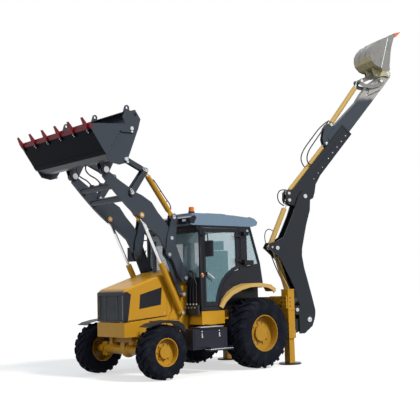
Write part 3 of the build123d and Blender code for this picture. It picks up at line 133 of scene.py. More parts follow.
class Graph:
    """Node tree of one material."""

    def __init__(self, name: str) -> None:
        """Makes an empty material.

        Args:
            name: Name of the material.
        """
        self.material = bpy.data.materials.new(name)
        self.material.use_nodes = True
        self.tree = self.material.node_tree
        self.tree.nodes.clear()

    def node(self, kind: str, settings: dict[str, Any], values: dict[Any, Any], output: int = 0) -> Wired:
        """Adds a node, sets it and links it.

        Args:
            kind: Type of the node.
            settings: Attributes of the node, such as a Math node's operation.
            values: Value or link for each input, by index or name.
            output: Index of the output that is returned.

        Returns:
            The chosen output.
        """
        made = self.tree.nodes.new(kind)
        for key, value in settings.items():
            setattr(made, key, value)
        for key, value in values.items():
            socket = made.inputs[key]
            if isinstance(value, Wired):
                self.tree.links.new(value.socket, socket)
            elif isinstance(value, tuple) and len(value) == 3 and socket.type == "RGBA":
                socket.default_value = (*value, 1.0)
            else:
                socket.default_value = value
        return Wired(self, made.outputs[output])

    def coordinates(self) -> Wired:
        """Object coordinates, in metres."""
        return self.node("ShaderNodeTexCoord", {}, {}, OBJECT_COORDINATES)

    def height(self) -> Wired:
        """Height above the ground at rest, in metres."""
        return self.node("ShaderNodeSeparateXYZ", {}, {0: self.coordinates()}, 2)

    def noise(self, scale: float, detail: float = 3.0, roughness: float = 0.55) -> Wired:
        """Noise over the object coordinates.

        Args:
            scale: Features per metre.
            detail: Octaves.
            roughness: Weight of the finer octaves.

        Returns:
            Value from 0 to 1.
        """
        values = {"Vector": self.coordinates(), "Scale": scale, "Detail": detail, "Roughness": roughness}
        return self.node("ShaderNodeTexNoise", {}, values)

    def blend(self, share: "Wired | float", first: Any, second: Any) -> Wired:
        """Mixes two colours.

        Args:
            share: Part of the second colour, from 0 to 1.
            first: Colour at 0.
            second: Colour at 1.

        Returns:
            The mixed colour.
        """
        return self.node("ShaderNodeMix", {"data_type": "RGBA"}, {0: share, 6: first, 7: second}, 2)

    def bump(self, height: Wired, distance: float, strength: float = 1.0) -> Wired:
        """Bump of a height, in metres."""
        return self.node("ShaderNodeBump", {}, {"Strength": strength, "Distance": distance, "Height": height})

    def surface(self, values: dict[str, Any]) -> bpy.types.Material:
        """Ends the graph in one Principled shader.

        Args:
            values: Values or links of its sockets.

        Returns:
            The finished material.
        """
        shader = self.node("ShaderNodeBsdfPrincipled", {}, values)
        self.node_output(shader)
        return self.material

    def node_output(self, shader: Wired) -> None:
        """Links a shader to the material's surface."""
        end = self.tree.nodes.new("ShaderNodeOutputMaterial")
        self.tree.links.new(shader.socket, end.inputs["Surface"])


MADE: dict[str, bpy.types.Material] = {}


@dataclass(frozen=True)
class Finish:
    """A finish of one of the machine's materials."""

    name: str
    colour: Colour
    roughness: float = 0.5
    gloss: float = 0.3

    def make(self) -> bpy.types.Material:
        """Builds the material, once.

        Returns:
            The material of this finish.
        """
        if self.name not in MADE:
            MADE[self.name] = self.build(Graph(self.name))
        return MADE[self.name]

    def build(self, graph: Graph) -> bpy.types.Material:
        """Fills the graph of the material."""
        mottle = graph.noise(5.0)
        values = {"Base Color": graph.blend(mottle * 0.3, self.colour, tuple(c * 0.7 for c in self.colour))}
        values["Roughness"] = self.roughness + (graph.noise(60.0) - 0.5) * 0.1
        values["Specular IOR Level"] = self.gloss
        return graph.surface(values)


@dataclass(frozen=True)
class Paint(Finish):
    """Sprayed paint over steel: light orange peel, dust low down, faint wear."""

    dust: float = 0.25
    dust_colour: Colour = (0.15, 0.12, 0.08)
    coat: float = 0.12
    worn: Colour = (0.12, 0.11, 0.10)
    wear: float = 0.15

    def build(self, graph: Graph) -> bpy.types.Material:
        """Fills the graph of the material."""
        broad = graph.noise(1.7, 4.0)
        fine = graph.noise(38.0, 5.0, 0.65)
        low = 1.0 - graph.height().between(0.2, 1.5)
        dust = (low * 0.8 + 0.2) * broad.between(0.35, 0.8) * self.dust
        scuffs = fine.between(0.66, 0.74) * broad.between(0.5, 0.75) * self.wear
        shade = graph.blend(broad * 0.35, self.colour, tuple(c * 0.78 for c in self.colour))
        dusty = graph.blend(dust, shade, self.dust_colour)
        return graph.surface(
            {
                "Base Color": graph.blend(scuffs, dusty, self.worn),
                "Roughness": self.roughness + dust * 0.5 + (fine - 0.5) * 0.12,
                "Specular IOR Level": self.gloss,
                "Coat Weight": self.coat,
                "Coat Roughness": 0.18,
                "Normal": graph.bump(graph.noise(420.0, 2.0), 0.0004, 0.25),
            }
        )


@dataclass(frozen=True)
class Tipped(Paint):
    """Paint that is worn to bare steel above a height, as at the dipper's tip."""

    bare: Colour = (0.43, 0.42, 0.395)
    from_height: float = 5.40

    def build(self, graph: Graph) -> bpy.types.Material:
        """Fills the graph of the material."""
        broad = graph.noise(2.0, 4.0)
        edge = graph.height() + (broad - 0.5) * 0.25
        share = edge.between(self.from_height - 0.05, self.from_height + 0.05)
        shade = graph.blend(broad * 0.3, self.colour, tuple(c * 0.8 for c in self.colour))
        return graph.surface(
            {
                "Base Color": graph.blend(share, shade, self.bare),
                "Roughness": self.roughness + share * 0.12,
                "Specular IOR Level": self.gloss,
                "Coat Weight": self.coat,
                "Normal": graph.bump(graph.noise(420.0, 2.0), 0.0004, 0.25),
            }
        )


@dataclass(frozen=True)
class Metal(Finish):
    """Bare metal, from polished rod to worn plate."""

    stain: Colour = (0.16, 0.14, 0.11)
    stains: float = 0.2
    relief: float = 0.0003
    bright: float = 1.0

    def build(self, graph: Graph) -> bpy.types.Material:
        """Fills the graph of the material."""
        patches = graph.noise(7.0, 6.0, 0.65).between(0.48, 0.72)
        fine = graph.noise(160.0, 4.0)
        return graph.surface(
            {
                "Base Color": graph.blend(patches * self.stains, self.colour, self.stain),
                "Metallic": self.bright - patches * (self.stains * self.bright),
                "Roughness": self.roughness + patches * 0.25 + (fine - 0.5) * 0.1,
                "Normal": graph.bump(fine, self.relief, 0.5),
            }
        )


@dataclass(frozen=True)
class Stained(Metal):
    """Bare plate with dried soil below a height."""

    soil: Colour = (0.66, 0.57, 0.29)
    below: float = 6.30

    def build(self, graph: Graph) -> bpy.types.Material:
        """Fills the graph of the material."""
        fine = graph.noise(24.0, 5.0, 0.65)
        edge = graph.height() + (graph.noise(3.0, 4.0) - 0.5) * 0.3
        low = (1.0 - edge.between(self.below - 0.10, self.below + 0.06)) * (0.5 + fine * 0.6)
        return graph.surface(
            {
                "Base Color": graph.blend(low, self.colour, self.soil),
                "Metallic": self.bright - low * self.bright,
                "Roughness": self.roughness + low * 0.25,
                "Normal": graph.bump(fine, self.relief, 0.5),
            }
        )


@dataclass(frozen=True)
class Rubber(Finish):
    """Tyre or hose rubber with a dull dusty bloom."""

    bloom: Colour = (0.075, 0.085, 0.105)
    blooms: float = 0.35

    def build(self, graph: Graph) -> bpy.types.Material:
        """Fills the graph of the material."""
        bloom = graph.noise(6.0, 5.0).between(0.42, 0.8) * self.blooms
        grain = graph.noise(220.0, 3.0)
        return graph.surface(
            {
                "Base Color": graph.blend(bloom, self.colour, self.bloom),
                "Roughness": self.roughness + bloom * 0.3,
                "Specular IOR Level": self.gloss,
                "Normal": graph.bump(grain, 0.0006, 0.4),
            }
        )


@dataclass(frozen=True)
class Plastic(Finish):
    """Moulded plastic with a fine texture."""

    grain: float = 500.0
    depth: float = 0.0004

    def build(self, graph: Graph) -> bpy.types.Material:
        """Fills the graph of the material."""
        broad = graph.noise(4.0)
        return graph.surface(
            {
                "Base Color": graph.blend(broad * 0.3, self.colour, tuple(c * 0.75 for c in self.colour)),
                "Roughness": self.roughness + (graph.noise(30.0) - 0.5) * 0.1,
                "Specular IOR Level": self.gloss,
                "Normal": graph.bump(graph.noise(self.grain, 2.0), self.depth, 0.4),
            }
        )


@dataclass(frozen=True)
class Glass(Finish):
    """Tinted pane, seen through by its alpha."""

    alpha: float = 0.24

    def build(self, graph: Graph) -> bpy.types.Material:
        """Fills the graph of the material."""
        film = graph.noise(3.0, 3.0)
        return graph.surface(
            {
                "Base Color": self.colour,
                "Roughness": self.roughness + film * 0.04,
                "Alpha": self.alpha + film * 0.06,
                "IOR": 1.45,
                "Coat Weight": 0.5,
            }
        )


YELLOW = Paint("yellow_paint", (0.54, 0.272, 0.012), 0.38, 0.24, dust=0.08, coat=0.08)
PALE_YELLOW = Paint("pale_yellow_paint", (0.64, 0.41, 0.12), 0.36, dust=0.05, coat=0.10)
RIM_YELLOW = Paint("rim_yellow_paint", (0.47, 0.245, 0.008), 0.42, dust=0.2)
CHARCOAL = Paint("charcoal_paint", (0.044, 0.055, 0.073), 0.34, 0.18, dust=0.06, coat=0.06)
# Painted shade: a much darker copy of the charcoal paint, given to the clam's faces that do not face sideways
# so that they read as shaded.
CLAM_SHADE_CHARCOAL = Paint("clam_charcoal_paint", (0.006, 0.007, 0.010), 0.62, 0.05, dust=0.0, coat=0.0)
BOOM_CHARCOAL = Paint("boom_charcoal_paint", (0.020, 0.025, 0.032), 0.30, 0.18, dust=0.05, coat=0.08)
CAB_BLACK = Paint("cab_black_paint", (0.010, 0.011, 0.018), 0.32, 0.20, dust=0.05, coat=0.06)
BOX_BLACK = Paint("box_black_paint", (0.017, 0.018, 0.030), 0.36, 0.15, dust=0.05, coat=0.04)
TOOTH_ORANGE = Paint("tooth_orange_paint", (0.80, 0.17, 0.07), 0.4, dust=0.02)
TOOTH_RED = Paint("tooth_red_paint", (0.19, 0.006, 0.014), 0.45, 0.2, dust=0.05)
SIGNAL_RED = Plastic("signal_red_plastic", (0.45, 0.02, 0.02), 0.3)
WORN_ARM = Tipped("worn_arm_paint", (0.048, 0.060, 0.078), 0.32, 0.2, dust=0.05, coat=0.08)
SOILED_STEEL = Stained("soiled_steel", (0.37, 0.365, 0.345), 0.55, stains=0.3, relief=0.001, bright=0.15)
BARE_STEEL = Metal("worn_bucket_steel", (0.188, 0.187, 0.182), 0.55, stains=0.5, relief=0.001, bright=0.25)
CHROME = Metal("chrome_rod", (0.72, 0.72, 0.74), 0.12, stains=0.03)
PIN_STEEL = Metal("machined_pin_steel", (0.55, 0.56, 0.57), 0.3, stains=0.15)
IRON = Metal("rough_iron", (0.045, 0.045, 0.05), 0.6, stains=0.5, stain=(0.05, 0.04, 0.03))
TREAD_METAL = Metal("tread_metal", (0.62, 0.68, 0.72), 0.38, stains=0.15)
TYRE = Rubber(
    "black_tyre_rubber", (0.006, 0.007, 0.012), 0.78, 0.08, bloom=(0.036, 0.041, 0.056), blooms=0.55,
)
HOSE = Rubber("hose_rubber", (0.010, 0.011, 0.015), 0.45, blooms=0.10)
TRIM = Plastic("black_trim_plastic", (0.009, 0.010, 0.015), 0.42, 0.2)
SLATS = Plastic("grille_slats", (0.078, 0.092, 0.108), 0.40)
ROOF = Plastic("blue_grey_roof_plastic", (0.155, 0.240, 0.335), 0.26, 0.5)
SEAT = Plastic("seat_vinyl", (0.028, 0.032, 0.042), 0.55, grain=300.0)
WINDOW = Glass("window_glass", (0.26, 0.50, 0.58), 0.03)
SCREEN = Glass("screen_glass", (0.34, 0.52, 0.57), 0.03, alpha=0.38)
AMBER = Plastic("amber_lens", (0.85, 0.20, 0.01), 0.15)
LENS = Plastic("lamp_lens", (0.75, 0.78, 0.80), 0.1)
WHITE = Plastic("white_plastic", (0.70, 0.71, 0.73), 0.35)


@dataclass(frozen=True)
class Layout:
    """Where the drawing frames lie in the row frame."""

    ground: Vector
    post: Point3 = (-1.340, 0.500, 0.0)
    swing: float = 18.0

    @classmethod
    def from_frame(cls) -> "Layout":
        """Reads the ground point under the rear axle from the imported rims.

        Returns:
            The layout.
        """
        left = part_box("rim_rear_left")
        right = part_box("rim_rear_right")
        return cls(Vector(((left[0].x + left[1].x) / 2, (right[0].y + left[1].y) / 2, 0.0)))

    @property
    def vehicle(self) -> Matrix:
        """From the vehicle's frame to the row frame."""
        return Matrix.Translation(self.ground)

    @property
    def digger(self) -> Matrix:
        """From the digger's plane to the row frame."""
        turn = Matrix.Rotation(math.radians(180.0 - self.swing), 4, "Z")
        return self.vehicle @ Matrix.Translation(self.post) @ turn

    def wheel(self, x: float, y: float, z: float) -> Matrix:
        """From a wheel's own frame, outer face towards +Y, to the row frame."""
        return self.vehicle @ Matrix.Translation((x, y, z)) @ Matrix.Scale(
            1.0
            if y > 0 else -1.0,
            4,
            (0, 1, 0),
        )


class Piece:
    """A mesh under construction in one drawing frame, which ends as an object at the origin."""

    def __init__(self, name: str, place: Matrix) -> None:
        """Starts an empty mesh.

        Args:
            name: Name of the object.
            place: From the drawing frame to the row frame.
        """
        self.name = name
        self.place = place
        self.bm = bmesh.new()
        self.finishes: list[Finish] = []
        self.current = 0

    def use(self, finish: Finish) -> "Piece":
        """Gives the faces that follow a finish."""
        if finish not in self.finishes:
            self.finishes.append(finish)
        self.current = self.finishes.index(finish)
        return self

    def _mark(self, verts: Iterable[bmesh.types.BMVert]) -> list[bmesh.types.BMVert]:
        """Sets the finish of the faces of new vertices and returns the vertices."""
        verts = list(verts)
        for vert in verts:
            for face in vert.link_faces:
                face.material_index = self.current
        return verts

    def prism(self, outline: Sequence[Point2], low: float, high: float) -> list[bmesh.types.BMVert]:
        """Extrudes an x-z outline between two y planes.

        Args:
            outline: Corners in the x-z plane.
            low: First plane.
            high: Second plane.

        Returns:
            The vertices of the prism.
        """
        verts = [self.bm.verts.new((x, low, z)) for x, z in outline]
        face = self.bm.faces.new(verts)
        made = bmesh.ops.extrude_face_region(self.bm, geom=[face], use_keep_orig=True)["geom"]
        moved = [item for item in made if isinstance(item, bmesh.types.BMVert)]
        bmesh.ops.translate(self.bm, verts=moved, vec=(0.0, high - low, 0.0))
        return self._mark(verts + moved)

    def both(self, outline: Sequence[Point2], low: float, high: float) -> None:
        """Extrudes an x-z outline on both sides of the middle plane."""
        self.prism(outline, low, high)
        self.prism(outline, -high, -low)

    def strap(self, first: Vector, last: Vector, widths: Point2, low: float, high: float) -> None:
        """Tapered plate between two x-z points.

        Args:
            first: Middle of its first end.
            last: Middle of its last end.
            widths: Half width at the first and the last end.
            low: First y plane.
            high: Second y plane.
        """
        run = (last - first).normalized()
        across = Vector((-run.y, run.x))
        start, end = across * widths[0], across * widths[1]
        corners = (first + start, last + end, last - end, first - start)
        self.prism([tuple(corner) for corner in corners], low, high)

    def box(self, x: Point2, y: Point2, z: Point2) -> list[bmesh.types.BMVert]:
        """Box from three low-high pairs."""
        size = Vector((x[1] - x[0], y[1] - y[0], z[1] - z[0]))
        middle = Vector((x[0] + x[1], y[0] + y[1], z[0] + z[1])) / 2
        matrix = Matrix.Translation(middle) @ Matrix.Diagonal((*size, 1.0))
        return self._mark(bmesh.ops.create_cube(self.bm, size=1.0, matrix=matrix)["verts"])

    def rod(
        self, start: Point3, end: Point3, radius: float, top: float | None = None, sides: int = 24,
    ) -> None:
        """Round bar between two points, or a cone if it has a top radius."""
        first, last = Vector(start), Vector(end)
        axis = last - first
        turn = axis.to_track_quat("Z", "Y").to_matrix().to_4x4()
        matrix = Matrix.Translation((first + last) / 2) @ turn
        radii = {"radius1": radius, "radius2": radius if top is None else top}
        made = bmesh.ops.create_cone(
            self.bm, cap_ends=True, segments=sides, depth=axis.length, matrix=matrix, **radii
        )
        self._mark(made["verts"])

    def ball(self, at: Point3, radius: float) -> None:
        """Small round knob."""
        matrix = Matrix.Translation(at)
        made = bmesh.ops.create_uvsphere(self.bm, u_segments=12, v_segments=8, radius=radius, matrix=matrix)
        self._mark(made["verts"])

    def pin(self, at: Point2, low: float, high: float, radius: float, sides: int = 24) -> None:
        """Round bar along Y at an x-z point."""
        self.rod((at[0], low, at[1]), (at[0], high, at[1]), radius, sides=sides)

    def turned(self, profile: Sequence[Point2], steps: int = 48, closed: bool = False) -> None:
        """Spins a profile of (y, radius) pairs about the Y axis.

        Args:
            profile: Points of the profile.
            steps: Steps of the full turn.
            closed: Whether the last point joins the first.
        """
        verts = [self.bm.verts.new((radius, y, 0.0)) for y, radius in profile]
        pairs = list(zip(verts, verts[1:])) + ([(verts[-1], verts[0])] if closed else [])
        edges = [self.bm.edges.new(pair) for pair in pairs]
        bmesh.ops.spin(
            self.bm, geom=verts + edges, cent=(0, 0, 0), axis=(0, 1, 0), dvec=(0, 0, 0),
            angle=math.tau, steps=steps, use_merge=True, use_duplicate=False,
        )
        bmesh.ops.remove_doubles(self.bm, verts=self.bm.verts, dist=1e-6)
        for face in self.bm.faces:
            face.material_index = self.current

    def ring_copies(self, count: int) -> None:
        """Repeats everything drawn so far round the Y axis."""
        bm = self.bm
        bmesh.ops.spin(
            bm, geom=[*bm.verts, *bm.edges, *bm.faces], cent=(0, 0, 0), axis=(0, 1, 0), dvec=(0, 0, 0),
            angle=math.tau * (count - 1) / count, steps=count - 1, use_duplicate=True, use_merge=False,
        )

    def done(
        self, body: str, slot: str, bevel: float = 0.0, replaces: Sequence[str] = (), crease: float = 38.0,
        segments: int = 2,
    ) -> bpy.types.Object:
        """Turns the mesh into an object that rides on a body.

        Args:
            body: CAD body that the object rides on.
            slot: Material slot of the record; not used.
            bevel: Width of the rounded edges.
            replaces: CAD nodes that the object stands for.
            crease: Angle in degrees above which an edge stays sharp.
            segments: Segments of the rounded edges.

        Returns:
            The object.
        """
        bmesh.ops.transform(self.bm, matrix=self.place, verts=self.bm.verts)
        bmesh.ops.recalc_face_normals(self.bm, faces=self.bm.faces)
        for face in self.bm.faces:
            face.smooth = True
        for edge in self.bm.edges:
            edge.smooth = edge.calc_face_angle(0.0) < math.radians(crease)
        mesh = bpy.data.meshes.new(self.name)
        self.bm.to_mesh(mesh)
        self.bm.free()
        obj = bpy.data.objects.new(self.name, mesh)
        bpy.context.scene.collection.objects.link(obj)
        for finish in self.finishes:
            mesh.materials.append(finish.make())
        if bevel > 0:
            modifier = obj.modifiers.new("rounded_edges", "BEVEL")
            modifier.width = bevel
            modifier.segments = segments
            modifier.limit_method = "ANGLE"
            modifier.angle_limit = math.radians(crease)
        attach(obj, body)
        if replaces:
            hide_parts(*replaces)
        LOG.info("%s: %d faces, rides on %s", self.name, len(mesh.polygons), body)
        return obj


@dataclass
class Assembly:
    """A group of pieces with a shared drawing frame."""

    layout: Layout

    def dress(self, nodes: Iterable[str], finish: Finish) -> None:
        """Gives CAD nodes a finish.

        Args:
            nodes: Names of the CAD nodes.
            finish: Their finish.
        """
        for name in nodes:
            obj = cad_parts[name]
            obj.data.materials.clear()
            obj.data.materials.append(finish.make())

    def piece(self, name: str) -> Piece:
        """Starts a piece in the vehicle's frame."""
        return Piece(name, self.layout.vehicle)

    def sided(self, name: str, side: Side) -> Piece:
        """Starts a piece that is drawn on the left and mirrored for the right, named by its side."""
        return Piece(
            f"{name}_{side.word}", self.layout.vehicle @ Matrix.Scale(float(side.value), 4, (0, 1, 0)),
        )

    def repaint(self, name: str, finish: Finish, chosen: Callable[[bpy.types.MeshPolygon], bool]) -> None:
        """Gives some faces of a CAD node another finish.

        Args:
            name: CAD node.
            finish: Finish of those faces.
            chosen: Says whether a face is one of them.
        """
        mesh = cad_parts[name].data
        mesh.materials.append(finish.make())
        for face in mesh.polygons:
            if chosen(face):
                face.material_index = len(mesh.materials) - 1

    def hose(
        self, name: str, points: Sequence[Point3], radius: float, body: str,
        place: Matrix | None = None, far: str = "",
    ) -> None:
        """Hose along a smooth curve.

        Args:
            name: Name of the object.
            points: Control points of the curve.
            radius: Radius of the hose.
            body: CAD body that it rides on, unless far is given.
            place: From the drawing frame to the row frame.
            far: CAD body across a joint from the hose's start; when given, the hose is baked in place and
                rides on no body.
        """
        curve = bpy.data.curves.new(name + "_line", "CURVE")
        curve.dimensions = "3D"
        curve.bevel_depth = radius
        curve.bevel_resolution = 3
        curve.resolution_u = 6
        curve.use_fill_caps = True
        spline = curve.splines.new("NURBS")
        spline.points.add(len(points) - 1)
        placed = [(place or self.layout.vehicle) @ Vector(point) for point in points]
        for held, point in zip(spline.points, placed):
            held.co = (*point, 1.0)
        spline.order_u = 3
        spline.use_endpoint_u = True
        curve.materials.append(HOSE.make())
        line = bpy.data.objects.new(name + "_line", curve)
        obj = bpy.data.objects.new(name, bpy.data.meshes.new_from_object(line))
        bpy.data.objects.remove(line)
        bpy.context.scene.collection.objects.link(obj)
        if far:
            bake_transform(obj)
        else:
            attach(obj, body)
        LOG.info("%s: hose on %s", name, body)

    def build(self) -> None:
        """Makes the assembly's pieces."""
        raise NotImplementedError


@dataclass
class Wheel(Assembly):
    """Tyre with lugs, and the bolts on its rim."""

    name: str = "rear_left"
    hub: Point3 = (0.0, 0.898, 0.645)
    radius: float = 0.645
    width: float = 0.49
    rim: float = 0.33
    lugs: int = 21
    lug_height: float = 0.034
    lug_width: float = 0.056
    disc: float = 0.085
    hub_radius: float = 0.150
    bolts: int = 10

    def carcass(self, piece: Piece) -> None:
        """Spins the walls and the crown under the lugs."""
        half = self.width / 2
        floor = self.radius - self.lug_height
        bead = self.rim + 0.0003
        span = floor - bead
        profile = [
            (half - 0.028, bead), (half - 0.012, bead + 0.012), (half - 0.010, bead + 0.10 * span),
            (half - 0.002, bead + 0.30 * span), (half, bead + 0.48 * span), (
                half - 0.006, bead + 0.68 * span,
            ),
            (half - 0.024, bead + 0.86 * span), (half - 0.062, bead + 0.97 * span), (half * 0.42, floor),
        ]
        mirrored = [(-y, r) for y, r in profile[::-1]]
        piece.use(TYRE).turned(profile + mirrored, 72, closed=True)

    def tread(self, piece: Piece) -> None:
        """Bends one bar of the tread round the crown and repeats it on both halves.

        Args:
            piece: The tyre, still empty.
        """
        half = self.width / 2
        bm = piece.bm
        bmesh.ops.create_cube(bm, size=1.0)
        long = [edge for edge in bm.edges if abs(edge.verts[0].co.y - edge.verts[1].co.y) > 0.5]
        bmesh.ops.subdivide_edges(bm, edges=long, cuts=5)
        for vert in bm.verts:
            share = vert.co.y + 0.5
            across = -0.02 + share * (half + 0.016)
            drop = max(0.0, across - (half - 0.075)) / 0.075
            top = self.radius - 0.004 * share - 0.075 * drop * drop
            bottom = self.radius - self.lug_height * 1.5 - 0.10 * drop
            radius, grow = (top, 1.0) if vert.co.z > 0 else (bottom, 1.35)
            sweep = 0.186 * share**1.25 / self.radius
            angle = sweep + vert.co.x * self.lug_width * grow * (0.8 + 0.5 * share) / self.radius
            vert.co = Vector((math.cos(angle) * radius, min(across, half + 0.001), math.sin(angle) * radius))
        piece.ring_copies(self.lugs)
        other = bmesh.ops.duplicate(bm, geom=[*bm.verts, *bm.edges, *bm.faces])["geom"]
        verts = [item for item in other if isinstance(item, bmesh.types.BMVert)]
        turn = Matrix.Rotation(math.pi / self.lugs, 4, "Y") @ Matrix.Scale(-1.0, 4, (0, 1, 0))
        bmesh.ops.transform(bm, matrix=turn, verts=verts)

    def build(self) -> None:
        """Makes the tyre and the bolts of the disc."""
        place = self.layout.wheel(*self.hub)
        tyre = Piece("tyre_tread_" + self.name, place)
        self.tread(tyre)
        self.carcass(tyre)
        tyre.done("wheel_" + self.name, "tyre_rubber", replaces=["tyre_" + self.name], crease=30.0)
        nuts = Piece("wheel_nuts_" + self.name, place)
        nuts.use(RIM_YELLOW)
        circle = self.hub_radius * 1.28
        for index in range(self.bolts):
            angle = math.tau * index / self.bolts
            at = (math.cos(angle) * circle, math.sin(angle) * circle)
            nuts.pin(at, self.disc - 0.002, self.disc + 0.024, 0.015, 6)
        nuts.done("wheel_" + self.name, "frame_yellow", bevel=0.002)
        self.dress(["rim_" + self.name], RIM_YELLOW)


@dataclass
class Chassis(Assembly):
    """Frame, axles, side boxes, steps and stabilisers."""

    def build(self) -> None:
        """Makes the pieces of the frame."""
        self.dress(["main_frame", "carriage", "stabiliser_leg_left", "stabiliser_leg_right"], YELLOW)
        self.dress(["kingpost"], BOOM_CHARCOAL)
        self.dress(["axles", "knuckle_left", "knuckle_right"], YELLOW)
        self.dress(["engine_block", "exhaust_stack"], IRON)
        self.dress(["front_fender_left", "front_fender_right"], TRIM)
        self.dress(["side_boxes"], BOX_BLACK)
        for side in Side:
            self.steps(side)
            self.stabiliser(side)
            self.cylinder_foot(side)
        self.valves()

    def stabiliser(self, side: Side) -> None:
        """Flange, collar, bolts and grease points of one stabiliser."""
        middle_x, middle_y, half = -0.875, 0.885, 0.086
        case = self.sided("leg_case_trim", side)
        case.use(IRON)
        for z in (1.10, 1.18, 1.26):
            for y in (-0.045, 0.045):
                start = (middle_x + half + 0.034, middle_y + y, z)
                case.rod(start, (start[0] + 0.016, start[1], z), 0.014, sides=6)
            case.rod(
                (middle_x + 0.03, middle_y + half, z), (middle_x + 0.03, middle_y + half + 0.012, z),
                0.012, sides=6,
            )
        case.use(PIN_STEEL)
        case.rod(
            (middle_x - 0.04, middle_y + half + 0.008, 0.56),
            (middle_x - 0.04, middle_y + half + 0.018, 0.56), 0.011,
        )
        case.done("chassis", "dark_iron", bevel=0.002)
        pad = self.sided("leg_pad_rubber", side)
        pad.use(CAB_BLACK).rod((middle_x, middle_y, 0.0), (middle_x, middle_y, 0.031), 0.214, sides=48)
        pad.done("stabiliser_" + side.word, "dark_iron", bevel=0.004)

    def cylinder_foot(self, side: Side) -> None:
        """Raised plate and pin keeper where the lift cylinder stands on the tower."""
        foot = self.sided("tower_trim", side)
        foot.use(YELLOW)
        foot.prism([(1.30, 0.96), (1.69, 0.96), (1.60, 1.105), (1.49, 1.30), (1.30, 1.30)], 0.4282, 0.434)
        foot.use(PIN_STEEL)
        for x, z in ((1.351, 1.683), (1.407, 1.394), (1.439, 1.072)):
            foot.pin((x, z), 0.5352, 0.548, 0.034)
            foot.pin((x, z), 0.548, 0.556, 0.012, 12)
        foot.done("chassis", "frame_yellow", bevel=0.002)

    def valves(self) -> None:
        """Hoses and fittings between the cab's front corner and the towers."""
        block = self.piece("valve_block")
        block.use(IRON).box((1.245, 1.285), (0.30, 0.76), (1.02, 1.20))
        block.box((1.245, 1.285), (-0.76, -0.30), (1.02, 1.20))
        block.use(PIN_STEEL)
        for side in (1, -1):
            for index in range(5):
                y = side * (0.36 + index * 0.085)
                block.rod((1.285, y, 1.15), (1.315, y, 1.15), 0.014, sides=12)
                block.rod((1.265, y, 1.20), (1.265, y, 1.225), 0.014, sides=12)
        block.done("chassis", "dark_iron", bevel=0.002)
        for side in Side:
            y = float(side.value)
            for index in range(5):
                at = 0.36 + index * 0.085
                path = [
                    (1.265, y * at, 1.215), (1.262, y * at, 1.35 + 0.05 * index),
                    (1.268, y * (at + 0.02), 1.55),
                ]
                path += [
                    (1.262, y * (0.70 - 0.03 * index), 1.72 + 0.03 * index),
                    (1.262, y * (0.60 - 0.02 * index), 1.80),
                ]
                self.hose(f"tower_hose_{side.word}_{index}", path, 0.011, "chassis")

    def steps(self, side: Side) -> None:
        """Treads and latches of one side box."""
        tread = self.sided("step_treads", side)
        tread.use(TREAD_METAL)
        tread.box((0.898, 1.427), (0.86, 0.990), (0.8155, 0.824))
        for index in range(12):
            x = 0.925 + index * 0.0425
            tread.box((x, x + 0.012), (0.87, 0.985), (0.824, 0.829))
        tread.box((0.748, 1.292), (0.935, 1.0752), (0.4305, 0.438))
        for index in range(12):
            x = 0.775 + index * 0.0425
            tread.box((x, x + 0.012), (0.945, 1.07), (0.438, 0.443))
        tread.done("chassis", "trim_plastic", bevel=0.0015)
        lid = self.sided("box_lid", side)
        lid.use(BOX_BLACK).box((0.83, 1.545), (0.9602, 0.966), (0.480, 0.765))
        lid.use(WHITE)
        for x in (0.985, 1.385):
            lid.box((x - 0.011, x + 0.011), (0.966, 0.974), (0.735, 0.757))
            lid.box((x - 0.010, x + 0.010), (0.966, 0.978), (0.665, 0.712))
            lid.pin((x - 0.004, 0.652), 0.966, 0.976, 0.015, 12)
        lid.done("chassis", "arm_charcoal", bevel=0.002)


